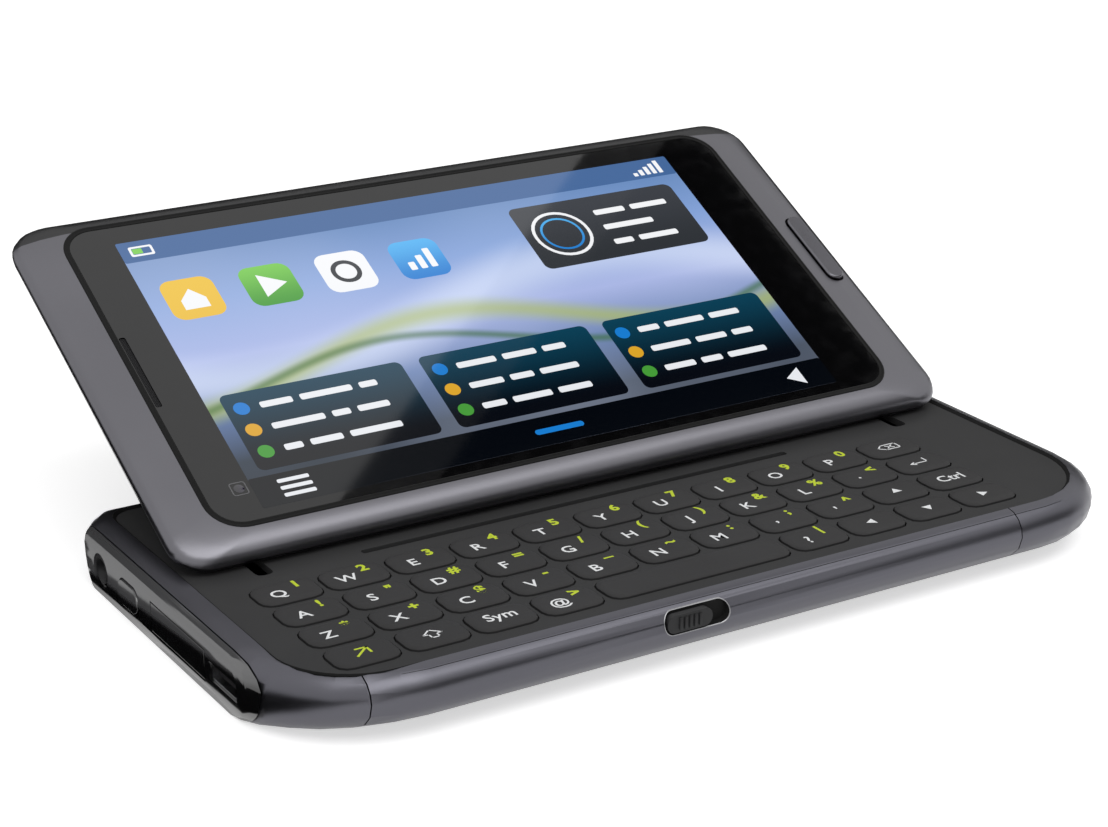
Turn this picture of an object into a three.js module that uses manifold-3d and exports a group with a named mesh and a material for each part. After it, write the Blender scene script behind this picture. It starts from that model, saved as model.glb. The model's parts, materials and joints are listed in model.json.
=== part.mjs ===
// A slider phone whose screen half swings up over a four-row keyboard.
// Lengths are millimetres. X runs along the long side with the port end at -X,
// -Y is the side that faces the user, +Z is up.
// The origin is the middle of the flat underside, and the phone is shown open.
import * as THREE from 'three';
import { mergeVertices } from 'three/addons/utils/BufferGeometryUtils.js';
import Module from 'manifold-3d';

const wasm = await Module();
wasm.setup();

// Base housing
const BASE_LENGTH = 123.7;
const BASE_DEPTH = 64.4;
const BASE_HEIGHT = 8.7;
const BASE_WIDEST_HEIGHT = 5.6;
const BASE_WALL = 1.6;
const END_WALL = 2.4;
const BASE_FLOOR = 1.2;
const FRONT_CORNER = 18;
const PLAIN_CORNER = 15.5;
const REAR_CORNER = 5;
const PORT_END_CUT = 0.7;
const FRONT_UNDERCUT = 11;
const REAR_UNDERCUT = 4;
const PLAIN_END_UNDERCUT = 6;
const PORT_SEAM_INSET = 9.9;
const PLAIN_SEAM_INSET = 20.6;
const SEAM_GAP = 0.15;
const SMALLEST_CORNER = 0.8;

// Keyboard deck and keys
const DECK_DROP = 0.4;
const DECK_THICKNESS = 1;
const DECK_FRONT_MARGIN = 3.1;
const DECK_REAR_MARGIN = 1.6;
const DECK_PORT_MARGIN = 3.45;
const DECK_PLAIN_MARGIN = 3.2;
const DECK_PORT_CORNER = 10.5;
const DECK_PLAIN_CORNER = 12.5;
const DECK_REAR_CORNER = 3.4;
const DECK_FIT = 0.12;
// The keys from the rear row to the front one, which has one wide key
const keyRows = [
  ['q', 'w', 'e', 'r', 't', 'y', 'u', 'i', 'o', 'p', 'backspace'],
  ['a', 's', 'd', 'f', 'g', 'h', 'j', 'k', 'l', 'period', 'enter'],
  ['z', 'x', 'c', 'v', 'b', 'n', 'm', 'comma', 'apostrophe', 'up', 'ctrl'],
  ['fn', 'shift', 'sym', 'at', 'space', 'question', 'left', 'down', 'right'],
];
const KEY_COLUMNS = keyRows[0].length;
const KEY_ROWS = keyRows.length;
const WIDE_KEY_PITCHES = KEY_COLUMNS - keyRows[KEY_ROWS - 1].length + 1;
const KEYBOARD_PORT_MARGIN = 7.945;
const KEYBOARD_PLAIN_MARGIN = 15.545;
const KEYBOARD_FRONT_EDGE = 5.45;
const KEYBOARD_REAR_GAP = 0.55;
const KEY_PITCH_X = (BASE_LENGTH - KEYBOARD_PORT_MARGIN - KEYBOARD_PLAIN_MARGIN) / KEY_COLUMNS;
const KEY_PITCH_Y = (BASE_DEPTH / 2 - KEYBOARD_FRONT_EDGE - KEYBOARD_REAR_GAP) / KEY_ROWS;
const KEY_GAP_X = 0.91;
const KEY_GAP_Y = 0.9;
const KEY_LENGTH = KEY_PITCH_X - KEY_GAP_X;
const KEY_DEPTH = KEY_PITCH_Y - KEY_GAP_Y;
const KEY_CORNER = 1.7;
const KEY_PROUD = 0.36;
const KEY_CHAMFER = 0.2;
const KEY_CROWN = 0.06;
const KEY_CLEARANCE = 0.2;
const KEY_TRAVEL = 0.3;
const KEY_REST_GAP = 0.35;
const KEYBOARD_X = (KEYBOARD_PORT_MARGIN - KEYBOARD_PLAIN_MARGIN) / 2;
const KEYBOARD_FRONT_MARGIN = KEYBOARD_FRONT_EDGE + KEY_PITCH_Y * KEY_ROWS / 2;

// Membrane, circuit board and battery under the deck
const MAT_THICKNESS = 0.4;
const MAT_NUB_HEIGHT = 0.3;
const MAT_NUB_RADIUS = 0.9;
const MAT_BORDER = 1.4;
const BOARD_THICKNESS = 0.8;
const BOARD_GAP = 0.1;
const BOARD_REAR_Y = 2.2;
const BOARD_FRONT_MARGIN = 4;
const BOARD_END_MARGIN = 1.6;
const BOARD_OVERHANG = 3.2;
const BOARD_CORNER_DEPTH = 13.85;
const BATTERY_LENGTH = 56;
const BATTERY_FRONT_MARGIN = 12.2;
const BATTERY_REAR_MARGIN = 16.2;
const BATTERY_DEPTH = BASE_DEPTH - BATTERY_FRONT_MARGIN - BATTERY_REAR_MARGIN;
const BATTERY_HEIGHT = 3.6;
const BATTERY_X = -6;
const BATTERY_Y = (BATTERY_FRONT_MARGIN - BATTERY_REAR_MARGIN) / 2;
const POST_RADIUS = 1.4;

// Screen half
const LID_END_STEP = 2.7;
const LID_SIDE_STEP = 1;
const LID_LENGTH = BASE_LENGTH - LID_END_STEP * 2;
const LID_DEPTH = BASE_DEPTH - LID_SIDE_STEP * 2;
const LID_THICKNESS = 4.8;
const LID_WIDEST_DEPTH = 2.2;
const LID_CORNER = 5;
const LID_TILT = THREE.MathUtils.degToRad(27);
const LID_OPEN_SETBACK = 0.4;
const LID_OPEN_Y = BASE_DEPTH / 2 - LID_OPEN_SETBACK;
const LID_FRONT_UNDERCUT = 7;
const LID_REAR_UNDERCUT = 5;
const LID_END_UNDERCUT = 4.5;
const GLASS_PORT_MARGIN = 6.3;
const GLASS_PLAIN_MARGIN = 7.7;
const GLASS_FRONT_MARGIN = 3.8;
const GLASS_REAR_MARGIN = 3;
const GLASS_LENGTH = LID_LENGTH - GLASS_PORT_MARGIN - GLASS_PLAIN_MARGIN;
const GLASS_DEPTH = LID_DEPTH - GLASS_FRONT_MARGIN - GLASS_REAR_MARGIN;
const GLASS_THICKNESS = 0.9;
const GLASS_CORNER = 4.5;
const GLASS_X = (GLASS_PORT_MARGIN - GLASS_PLAIN_MARGIN) / 2;
const GLASS_Y = (GLASS_FRONT_MARGIN - GLASS_REAR_MARGIN) / 2;
const GLASS_FIT = 0.3;
const EARPIECE_LENGTH = 13;
const EARPIECE_WIDTH = 0.9;
const EARPIECE_INSET = 1.1;
const EARPIECE_Y = 0.8;
const PANEL_END_BORDER = 6.4;
const PANEL_SIDE_BORDER = 1.6;
const PANEL_LENGTH = GLASS_LENGTH - PANEL_END_BORDER * 2;
const PANEL_DEPTH = GLASS_DEPTH - PANEL_SIDE_BORDER * 2;
const PANEL_THICKNESS = 1.3;
const PANEL_SHIFT = 0.05;
const PANEL_X = GLASS_X + PANEL_SHIFT;
const HOME_LENGTH = 13.6;
const HOME_WIDTH = 2.7;
const HOME_THICKNESS = 1.4;
const HOME_PROUD = 0.15;
const HOME_END_MARGIN = 3.5;
const HOME_X = LID_LENGTH / 2 - HOME_END_MARGIN;
const HOME_Y = 0.6;
const HOME_CLEARANCE = 0.25;
const HOME_REST_GAP = 0.4;

// Tilting mechanism
const GLIDE_GAP = 0.3;
const CLOSED_GAP = 0.4;
const ARM_END_MARGIN = 10.15;
const ARM_OFFSET = LID_LENGTH / 2 - ARM_END_MARGIN;
const ARM_THICKNESS = 1.6;
const ARM_HALF_WIDTH = 1.5;
const ARM_SIDE_CLEARANCE = 0.35;
const LID_PIN_Y = 4;
const LID_PIN_RISE = 0.6;
const LID_PIN_RADIUS = 0.6;
const PIN_CLEARANCE = 0.3;
const LID_EYE_RADIUS = 1.5;
const GROOVE_DEPTH = 2.45;
const GROOVE_LENGTH = 17.5;
const GROOVE_REACH = 4.7;
const PIVOT_HEIGHT = 5;
const SHAFT_RADIUS = 1;
const SHAFT_CLEARANCE = 0.3;
const KNUCKLE_RADIUS = 2.1;
const KNUCKLE_LENGTH = 7;
const KNUCKLE_SEAM_MARGIN = 4.65;
const KNUCKLE_SPACING = BASE_LENGTH / 2 - PLAIN_SEAM_INSET - KNUCKLE_SEAM_MARGIN;
const PLATE_THICKNESS = 0.8;
const PLATE_FRONT_Y = 4.2;
const PLATE_SEAM_MARGIN = 7.95;
const PLATE_HALF_LENGTH = BASE_LENGTH / 2 - PORT_SEAM_INSET - PLATE_SEAM_MARGIN;
const PLATE_DECK_GAP = 0.1;
const SLOT_END_CLEARANCE = 0.1;
const SLOT_FRONT_Y = LID_PIN_Y - LID_EYE_RADIUS - SLOT_END_CLEARANCE;
const SLOT_REAR_MARGIN = 1;
const SLOT_WIDTH = 2.3;
const SLIT_FRONT_Y = 1.9;
const SLIT_WIDTH = 1.1;
const SLIT_PORT_MARGIN = 25.85;
const SLIT_PLAIN_MARGIN = 32.85;
const SLIT_START_X = -BASE_LENGTH / 2 + SLIT_PORT_MARGIN;
const SLIT_END_X = BASE_LENGTH / 2 - SLIT_PLAIN_MARGIN;

// Port end, from the rear to the front
const PORT_PANEL_THICKNESS = 0.85;
const PORT_HEIGHT = 3.4;
const JACK_PLACE_SHARE = 0.764;
const JACK_Y = BASE_DEPTH / 2 * JACK_PLACE_SHARE;
const JACK_BORE_RADIUS = 1.75;
const JACK_RIM_RADIUS = 2.3;
const JACK_RIM_DEPTH = 0.4;
const POWER_PLACE_SHARE = 0.4783;
const POWER_Y = BASE_DEPTH / 2 * POWER_PLACE_SHARE;
const POWER_LENGTH = 6;
const POWER_WIDTH = 3.4;
const POWER_THICKNESS = 1.3;
const POWER_PROUD = 0.25;
const USB_PLACE_SHARE = 0.3851;
const USB_Y = -BASE_DEPTH / 2 * USB_PLACE_SHARE;
const USB_LENGTH = 7.5;
const USB_HEIGHT = 2.4;
const COVER_POWER_GAP = 4;
const COVER_USB_GAP = 1.45;
const COVER_REAR_Y = POWER_Y - POWER_LENGTH / 2 - COVER_POWER_GAP;
const COVER_FRONT_Y = USB_Y + USB_LENGTH / 2 + COVER_USB_GAP;
const COVER_Y = (COVER_REAR_Y + COVER_FRONT_Y) / 2;
const COVER_LENGTH = COVER_REAR_Y - COVER_FRONT_Y;
const COVER_HEIGHT = 4;
const COVER_THICKNESS = 0.7;
const COVER_BOTTOM = 1.3;
const COVER_GAP = 0.2;
const COVER_PIN_RADIUS = 0.2;
const COVER_PIN_LENGTH = 0.6;
const COVER_PIN_CLEARANCE = 0.1;
const VIDEO_SOCKET_MARGIN = 2.3;
const VIDEO_SOCKET_LENGTH = COVER_LENGTH - VIDEO_SOCKET_MARGIN * 2;
const VIDEO_SOCKET_HEIGHT = 3;
const SOCKET_WALL = 0.4;
const SOCKET_DEPTH = 5.5;
const SOCKET_SETBACK = 0.5;
const BUTTON_CLEARANCE = 0.2;

// Sliders in the long sides
const SLIDER_POCKET_DEPTH = 1.1;
const SLIDER_THICKNESS = 0.9;
const LOCK_X = -9.1;
const LOCK_HEIGHT = 6.5;
const LOCK_POCKET_LENGTH = 9.4;
const LOCK_POCKET_WIDTH = 2.9;
const LOCK_THUMB_LENGTH = 6.4;
const LOCK_THUMB_WIDTH = 2.3;
const LOCK_RIDGE_COUNT = 5;
const LOCK_RIDGE_WIDTH = 0.35;
const LOCK_RIDGE_HEIGHT = 0.2;
const VOLUME_X = -22;
const VOLUME_HEIGHT = 5.4;
const VOLUME_POCKET_LENGTH = 17;
const VOLUME_POCKET_WIDTH = 2.7;
const VOLUME_THUMB_LENGTH = 13;
const VOLUME_THUMB_WIDTH = 2.1;
const SLIDER_GAP = 0.3;

// Camera in the underside
const CAMERA_PORT_MARGIN = 23.85;
const CAMERA_X = -BASE_LENGTH / 2 + CAMERA_PORT_MARGIN;
const CAMERA_WINDOW_RADIUS = 5.2;
const CAMERA_WINDOW_DEPTH = 0.35;
const CAMERA_LENS_RADIUS = 2.6;
const CAMERA_LENS_DEPTH = 0.55;

// How finely curves are divided
const CORNER_STEPS = 7;
const KEY_CORNER_STEPS = 3;
const BULGE_STEPS = 5;
const BRIM_STEPS = 4;
const ROUND_STEPS = 24;
const SMALL_ROUND_STEPS = 12;
const OVERRUN = 1;

const QUARTER = Math.PI / 2;
const deckTop = BASE_HEIGHT - DECK_DROP;
const deckBottom = deckTop - DECK_THICKNESS;
const halfLength = BASE_LENGTH / 2;
const halfDepth = BASE_DEPTH / 2;
const portSeamX = -halfLength + PORT_SEAM_INSET;
const plainSeamX = halfLength - PLAIN_SEAM_INSET;
const keyboardY = -halfDepth + KEYBOARD_FRONT_MARGIN;

function finish(color, roughness, metalness) {
  return new THREE.MeshStandardMaterial({ color, roughness, metalness });
}

const finishes = {
  anodised: finish(0x56555c, 0.42, 0.85),
  steel: finish(0x9a9ba0, 0.35, 1),
  gloss: finish(0x0b0b0d, 0.12, 0),
  glass: finish(0x0b0b0d, 0.05, 0),
  deck: finish(0x2f2f31, 0.55, 0.1),
  keycap: finish(0x373739, 0.6, 0),
  membrane: finish(0x202022, 0.9, 0),
  circuit: finish(0x1f5a38, 0.6, 0),
  cell: finish(0x8d9096, 0.5, 0.3),
  display: finish(0x3c5f94, 0.3, 0),
};

// Geometry helpers: closed meshes in, closed meshes out

function solidOf(geometry) {
  const bare = geometry.clone();
  bare.deleteAttribute('normal');
  bare.deleteAttribute('uv');
  const merged = mergeVertices(bare);
  const vertProperties = new Float32Array(merged.attributes.position.array);
  const triVerts = new Uint32Array(merged.index.array);
  return new wasm.Manifold(new wasm.Mesh({ numProp: 3, vertProperties, triVerts }));
}

function geometryOf(solid) {
  const mesh = solid.getMesh();
  const geometry = new THREE.BufferGeometry();
  geometry.setAttribute('position', new THREE.BufferAttribute(new Float32Array(mesh.vertProperties), 3));
  geometry.setIndex(new THREE.BufferAttribute(new Uint32Array(mesh.triVerts), 1));
  geometry.computeVertexNormals();
  return geometry;
}

function carve(geometry, cutters) {
  let solid = solidOf(geometry);
  for (const cutter of cutters) {
    solid = solid.subtract(solidOf(cutter));
  }
  return geometryOf(solid);
}

function fuse(geometries) {
  let solid = solidOf(geometries[0]);
  for (const extra of geometries.slice(1)) {
    solid = solid.add(solidOf(extra));
  }
  return geometryOf(solid);
}

function common(geometry, keeper) {
  return geometryOf(solidOf(geometry).intersect(solidOf(keeper)));
}

function block(x0, x1, y0, y1, z0, z1) {
  const box = new THREE.BoxGeometry(x1 - x0, y1 - y0, z1 - z0);
  return box.translate((x0 + x1) / 2, (y0 + y1) / 2, (z0 + z1) / 2);
}

function rodAlongX(radius, x0, x1, y, z, steps) {
  const rod = new THREE.CylinderGeometry(radius, radius, x1 - x0, steps);
  return rod.rotateZ(QUARTER).translate((x0 + x1) / 2, y, z);
}

function rodAlongY(radius, y0, y1, x, z, steps) {
  const rod = new THREE.CylinderGeometry(radius, radius, y1 - y0, steps);
  return rod.translate(x, (y0 + y1) / 2, z);
}

function rodAlongZ(radius, z0, z1, x, y, steps) {
  const rod = new THREE.CylinderGeometry(radius, radius, z1 - z0, steps);
  return rod.rotateX(QUARTER).translate(x, y, (z0 + z1) / 2);
}

// A closed outline, counter-clockwise from the front left corner.
// Each corner is a quarter of an ellipse, given as [x radius, y radius].
function roundedOutline(box, corners, steps) {
  const places = [
    [box.x0 + corners[0][0], box.y0 + corners[0][1]],
    [box.x1 - corners[1][0], box.y0 + corners[1][1]],
    [box.x1 - corners[2][0], box.y1 - corners[2][1]],
    [box.x0 + corners[3][0], box.y1 - corners[3][1]],
  ];
  const points = [];
  places.forEach(([x, y], corner) => {
    for (let step = 0; step <= steps; step += 1) {
      const angle = QUARTER * (2 + corner + step / steps);
      points.push([x + corners[corner][0] * Math.cos(angle), y + corners[corner][1] * Math.sin(angle)]);
    }
  });
  return points;
}

function evenCorners(radius) {
  return [[radius, radius], [radius, radius], [radius, radius], [radius, radius]];
}

function centredBox(x, y, length, depth) {
  return { x0: x - length / 2, x1: x + length / 2, y0: y - depth / 2, y1: y + depth / 2 };
}

// A solid through a stack of outlines that all have the same number of points.
function loft(levels) {
  const count = levels[0].points.length;
  const positions = [];
  for (const level of levels) {
    for (const [x, y] of level.points) {
      positions.push(x, y, level.z);
    }
  }
  const faces = [];
  for (let level = 0; level < levels.length - 1; level += 1) {
    for (let i = 0; i < count; i += 1) {
      const next = (i + 1) % count;
      const low = level * count;
      const high = low + count;
      faces.push(low + i, low + next, high + next, low + i, high + next, high + i);
    }
  }
  const top = (levels.length - 1) * count;
  for (let i = 1; i < count - 1; i += 1) {
    faces.push(0, i + 1, i, top, top + i, top + i + 1);
  }
  const geometry = new THREE.BufferGeometry();
  geometry.setAttribute('position', new THREE.Float32BufferAttribute(positions, 3));
  geometry.setIndex(faces);
  return geometry;
}

function slab(points, z0, z1) {
  return loft([{ z: z0, points }, { z: z1, points }]);
}

// A plate with nearly round ends: a short flat stays between the two corners.
function pill(length, width, thickness, steps) {
  const corners = evenCorners(width / 2 - width / ROUND_STEPS);
  return slab(roundedOutline(centredBox(0, 0, length, width), corners, steps), 0, thickness);
}

// Base housing: a bulged hull whose corners, brim and underside follow ellipses

// How far the hull stands in from its widest outline, as a share, at a turn
// of its profile: 0 at the widest line, 1 at the brim or at the underside.
function profileShare(turn) {
  return 1 - Math.cos(QUARTER * turn);
}

function hullOutline(insets, steps) {
  const box = {
    x0: -halfLength - PORT_END_CUT + insets.port,
    x1: halfLength - insets.plain,
    y0: -halfDepth + insets.front,
    y1: halfDepth - insets.rear,
  };
  const radius = (full, inset) => Math.max(full - inset, SMALLEST_CORNER);
  const corners = [
    [radius(FRONT_CORNER, insets.port), radius(FRONT_CORNER, insets.front)],
    [radius(PLAIN_CORNER, insets.plain), radius(PLAIN_CORNER, insets.front)],
    [radius(REAR_CORNER, insets.plain), radius(REAR_CORNER, insets.rear)],
    [radius(REAR_CORNER, insets.port), radius(REAR_CORNER, insets.rear)],
  ];
  return roundedOutline(box, corners, steps);
}

function hullInsets(height) {
  if (height < BASE_WIDEST_HEIGHT) {
    const turn = Math.asin((BASE_WIDEST_HEIGHT - height) / BASE_WIDEST_HEIGHT) / QUARTER;
    const share = profileShare(turn);
    return {
      port: PORT_END_CUT * share,
      plain: PLAIN_END_UNDERCUT * share,
      front: FRONT_UNDERCUT * share,
      rear: REAR_UNDERCUT * share,
    };
  }
  const brim = BASE_HEIGHT - BASE_WIDEST_HEIGHT;
  const share = profileShare(Math.asin((height - BASE_WIDEST_HEIGHT) / brim) / QUARTER);
  return {
    port: (DECK_PORT_MARGIN + PORT_END_CUT) * share,
    plain: DECK_PLAIN_MARGIN * share,
    front: DECK_FRONT_MARGIN * share,
    rear: DECK_REAR_MARGIN * share,
  };
}

function outerHull() {
  const levels = [];
  for (let step = BULGE_STEPS; step > 0; step -= 1) {
    levels.push(BASE_WIDEST_HEIGHT * (1 - Math.sin(QUARTER * step / BULGE_STEPS)));
  }
  for (let step = 0; step <= BRIM_STEPS; step += 1) {
    const rise = (BASE_HEIGHT - BASE_WIDEST_HEIGHT) * Math.sin(QUARTER * step / BRIM_STEPS);
    levels.push(BASE_WIDEST_HEIGHT + rise);
  }
  return loft(levels.map((z) => ({ z, points: hullOutline(hullInsets(z), CORNER_STEPS) })));
}

// The hollow follows the hull at one wall's distance and is open at the top.
function hullHollow() {
  const low = [BASE_FLOOR, BASE_FLOOR * 2, BASE_FLOOR * 3];
  const levels = [...low, deckBottom - BASE_FLOOR, deckBottom + OVERRUN];
  return loft(levels.map((z) => {
    const shell = hullInsets(Math.min(z - BASE_FLOOR, BASE_WIDEST_HEIGHT));
    const insets = {
      port: shell.port + END_WALL + PORT_PANEL_THICKNESS,
      plain: shell.plain + END_WALL,
      front: shell.front + BASE_WALL,
      rear: shell.rear + BASE_WALL,
    };
    return { z, points: hullOutline(insets, CORNER_STEPS) };
  }));
}

function deckOutline(grow, steps) {
  const box = {
    x0: -halfLength + DECK_PORT_MARGIN - grow,
    x1: halfLength - DECK_PLAIN_MARGIN + grow,
    y0: -halfDepth + DECK_FRONT_MARGIN - grow,
    y1: halfDepth - DECK_REAR_MARGIN + grow,
  };
  const corners = [
    [DECK_PORT_CORNER, DECK_PORT_CORNER],
    [DECK_PLAIN_CORNER, DECK_PLAIN_CORNER],
    [DECK_REAR_CORNER, DECK_REAR_CORNER],
    [DECK_REAR_CORNER, DECK_REAR_CORNER],
  ];
  return roundedOutline(box, corners, steps);
}

function hollowHull() {
  const deckRecess = slab(deckOutline(DECK_FIT, CORNER_STEPS), deckBottom, BASE_HEIGHT + OVERRUN);
  return carve(outerHull(), [hullHollow(), deckRecess]);
}

function between(x0, x1) {
  const reach = BASE_DEPTH;
  return block(x0, x1, -reach, reach, -OVERRUN, BASE_HEIGHT + OVERRUN);
}

// A pocket with round ends in a long side, cut along Y.
function sidePocket(x, z, length, width, side, depth) {
  const start = side * (halfDepth - depth);
  const pocket = pill(length, width, depth + OVERRUN, CORNER_STEPS);
  pocket.rotateX(-side * QUARTER);
  return pocket.translate(x, start, z);
}

function baseShell(hull) {
  const postTop = boardBottom - BOARD_GAP;
  const posts = boardPosts.map(([x, y]) => (
    rodAlongZ(POST_RADIUS, BASE_FLOOR / 2, postTop, x, y, SMALL_ROUND_STEPS)));
  const cradles = knuckleCentres.map((x) => (
    block(
      x - KNUCKLE_LENGTH / 2, x + KNUCKLE_LENGTH / 2, cradleFrontY, pivotY,
      BASE_FLOOR / 2, PIVOT_HEIGHT - KNUCKLE_RADIUS - BOARD_GAP,
    )));
  const props = plateProps.map(([x, y]) => (
    rodAlongZ(POST_RADIUS, BASE_FLOOR / 2, plateBottom - BOARD_GAP, x, y, SMALL_ROUND_STEPS)));
  const middle = common(hull, between(portSeamX + SEAM_GAP / 2, plainSeamX - SEAM_GAP / 2));
  const lensTop = CAMERA_LENS_DEPTH + CAMERA_WINDOW_DEPTH;
  const cutters = [
    sidePocket(LOCK_X, LOCK_HEIGHT, LOCK_POCKET_LENGTH, LOCK_POCKET_WIDTH, -1, SLIDER_POCKET_DEPTH),
    sidePocket(VOLUME_X, VOLUME_HEIGHT, VOLUME_POCKET_LENGTH, VOLUME_POCKET_WIDTH, 1, SLIDER_POCKET_DEPTH),
    rodAlongZ(CAMERA_WINDOW_RADIUS, -OVERRUN, CAMERA_WINDOW_DEPTH, CAMERA_X, 0, ROUND_STEPS),
    rodAlongZ(CAMERA_LENS_RADIUS, -OVERRUN, lensTop, CAMERA_X, 0, ROUND_STEPS),
  ];
  return carve(fuse([middle, ...posts, ...cradles, ...props]), cutters);
}

// Port end: jack, power button, covered video socket and charging socket

function portEndCutters() {
  const start = -halfLength - OVERRUN;
  const end = -halfLength + PORT_PANEL_THICKNESS + END_WALL + OVERRUN;
  const usb = centredBox(USB_Y, PORT_HEIGHT, USB_LENGTH, USB_HEIGHT);
  const video = centredBox(COVER_Y, coverMiddle, VIDEO_SOCKET_LENGTH, VIDEO_SOCKET_HEIGHT);
  return [
    rodAlongX(JACK_BORE_RADIUS, start, end, JACK_Y, PORT_HEIGHT, ROUND_STEPS),
    block(start, end, usb.x0, usb.x1, usb.y0, usb.y1),
    block(start, end, video.x0, video.x1, video.y0, video.y1),
  ];
}

function powerButton(grow) {
  const button = pill(POWER_LENGTH + grow * 2, POWER_WIDTH + grow * 2, POWER_THICKNESS, CORNER_STEPS);
  button.rotateZ(QUARTER).rotateY(-QUARTER);
  return button.translate(-halfLength - POWER_PROUD + POWER_THICKNESS, POWER_Y, PORT_HEIGHT);
}

function powerPocket() {
  const pocket = powerButton(BUTTON_CLEARANCE);
  return pocket.translate(KEY_TRAVEL + BUTTON_CLEARANCE, 0, 0);
}

function powerWindow() {
  return powerButton(BUTTON_CLEARANCE).translate(-POWER_THICKNESS / 2, 0, 0);
}

// The flap over the video socket turns on two small pins at its lower edge.
function coverPlate(grow) {
  const half = COVER_LENGTH / 2 + grow;
  const radius = COVER_THICKNESS / 2;
  const top = COVER_BOTTOM + COVER_HEIGHT + grow;
  const barrel = rodAlongY(
    radius + grow, COVER_Y - half, COVER_Y + half, coverAxisX, coverAxisZ, SMALL_ROUND_STEPS,
  );
  const plate = block(
    coverAxisX - radius - grow, coverAxisX + radius + grow,
    COVER_Y - half, COVER_Y + half, coverAxisZ, top,
  );
  return fuse([plate, barrel]);
}

function coverPins(grow) {
  const reach = COVER_LENGTH / 2 + COVER_PIN_LENGTH + grow;
  return rodAlongY(
    COVER_PIN_RADIUS + grow, COVER_Y - reach, COVER_Y + reach, coverAxisX, coverAxisZ, SMALL_ROUND_STEPS,
  );
}

function portCover() {
  return fuse([coverPlate(0), coverPins(0)]);
}

function portEndCap(hull) {
  const start = -halfLength + PORT_PANEL_THICKNESS + SEAM_GAP / 2;
  const cap = common(hull, between(start, portSeamX - SEAM_GAP / 2));
  return carve(cap, [...portEndCutters(), powerPocket(), coverPlate(COVER_GAP), ...armSlots()]);
}

function portPanel() {
  const skin = common(outerHull(), between(-halfLength, -halfLength + PORT_PANEL_THICKNESS - SEAM_GAP / 2));
  const rim = rodAlongX(
    JACK_RIM_RADIUS, -halfLength - OVERRUN, -halfLength + JACK_RIM_DEPTH, JACK_Y, PORT_HEIGHT, ROUND_STEPS,
  );
  const bores = coverPins(COVER_PIN_CLEARANCE);
  return carve(skin, [...portEndCutters(), rim, powerPocket(), powerWindow(), coverPlate(COVER_GAP), bores]);
}

function plainEndCap(hull) {
  const cap = common(hull, between(plainSeamX + SEAM_GAP / 2, halfLength + OVERRUN));
  return carve(cap, armSlots());
}

// Keyboard: the table of rows gives the keys, the deck's windows and the nubs

function keyPlaces() {
  const places = [];
  keyRows.forEach((row, rowIndex) => {
    let column = 0;
    for (const name of row) {
      const pitches = name === 'space' ? WIDE_KEY_PITCHES : 1;
      const middle = column + (pitches - 1) / 2 - (KEY_COLUMNS - 1) / 2;
      places.push({
        name,
        x: KEYBOARD_X + middle * KEY_PITCH_X,
        y: keyboardY + ((KEY_ROWS - 1) / 2 - rowIndex) * KEY_PITCH_Y,
        length: KEY_LENGTH + (pitches - 1) * KEY_PITCH_X,
      });
      column += pitches;
    }
  });
  return places;
}

function keyOutline(place, grow) {
  const box = centredBox(place.x, place.y, place.length + grow * 2, KEY_DEPTH + grow * 2);
  return roundedOutline(box, evenCorners(KEY_CORNER + grow), KEY_CORNER_STEPS);
}

// A key: straight skirt, chamfered edge and a low crown.
function keycap(place) {
  const top = deckTop + KEY_PROUD;
  return loft([
    { z: keyBottom, points: keyOutline(place, 0) },
    { z: top - KEY_CHAMFER, points: keyOutline(place, 0) },
    { z: top - KEY_CROWN, points: keyOutline(place, -KEY_CHAMFER) },
    { z: top, points: keyOutline(place, -KEY_CORNER / 2) },
  ]);
}

function shapeOf(points) {
  return new THREE.Shape(points.map(([x, y]) => new THREE.Vector2(x, y)));
}

function pathOf(points) {
  return new THREE.Path(points.map(([x, y]) => new THREE.Vector2(x, y)));
}

function keyboardDeck(places) {
  const plate = shapeOf(deckOutline(0, CORNER_STEPS));
  for (const place of places) {
    plate.holes.push(pathOf(keyOutline(place, KEY_CLEARANCE)));
  }
  const slit = { x0: SLIT_START_X, x1: SLIT_END_X, y0: SLIT_FRONT_Y, y1: SLIT_FRONT_Y + SLIT_WIDTH };
  plate.holes.push(pathOf(roundedOutline(slit, evenCorners(SLIT_WIDTH / 3), 2)));
  for (const side of [-1, 1]) {
    const slot = {
      x0: side * ARM_OFFSET - SLOT_WIDTH / 2,
      x1: side * ARM_OFFSET + SLOT_WIDTH / 2,
      y0: SLOT_FRONT_Y,
      y1: slotRearY,
    };
    plate.holes.push(pathOf(roundedOutline(slot, evenCorners(SLOT_WIDTH / 3), 2)));
  }
  const geometry = new THREE.ExtrudeGeometry(plate, { depth: DECK_THICKNESS, bevelEnabled: false });
  return geometry.translate(0, 0, deckBottom);
}

function keyMat(places) {
  const reachX = KEY_PITCH_X * KEY_COLUMNS / 2 + MAT_BORDER;
  const reachY = KEY_PITCH_Y * KEY_ROWS / 2 + MAT_BORDER / 2;
  const box = centredBox(KEYBOARD_X, keyboardY, reachX * 2, reachY * 2);
  const sheet = slab(roundedOutline(box, evenCorners(KEY_CORNER * 2), KEY_CORNER_STEPS), matBottom, matTop);
  const nubs = places.map(({ x, y }) => (
    rodAlongZ(MAT_NUB_RADIUS, matBottom + MAT_THICKNESS / 2, nubTop, x, y, SMALL_ROUND_STEPS / 3)));
  return fuse([sheet, ...nubs]);
}

// Circuit board with the sockets that stand behind the port end's openings

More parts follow.
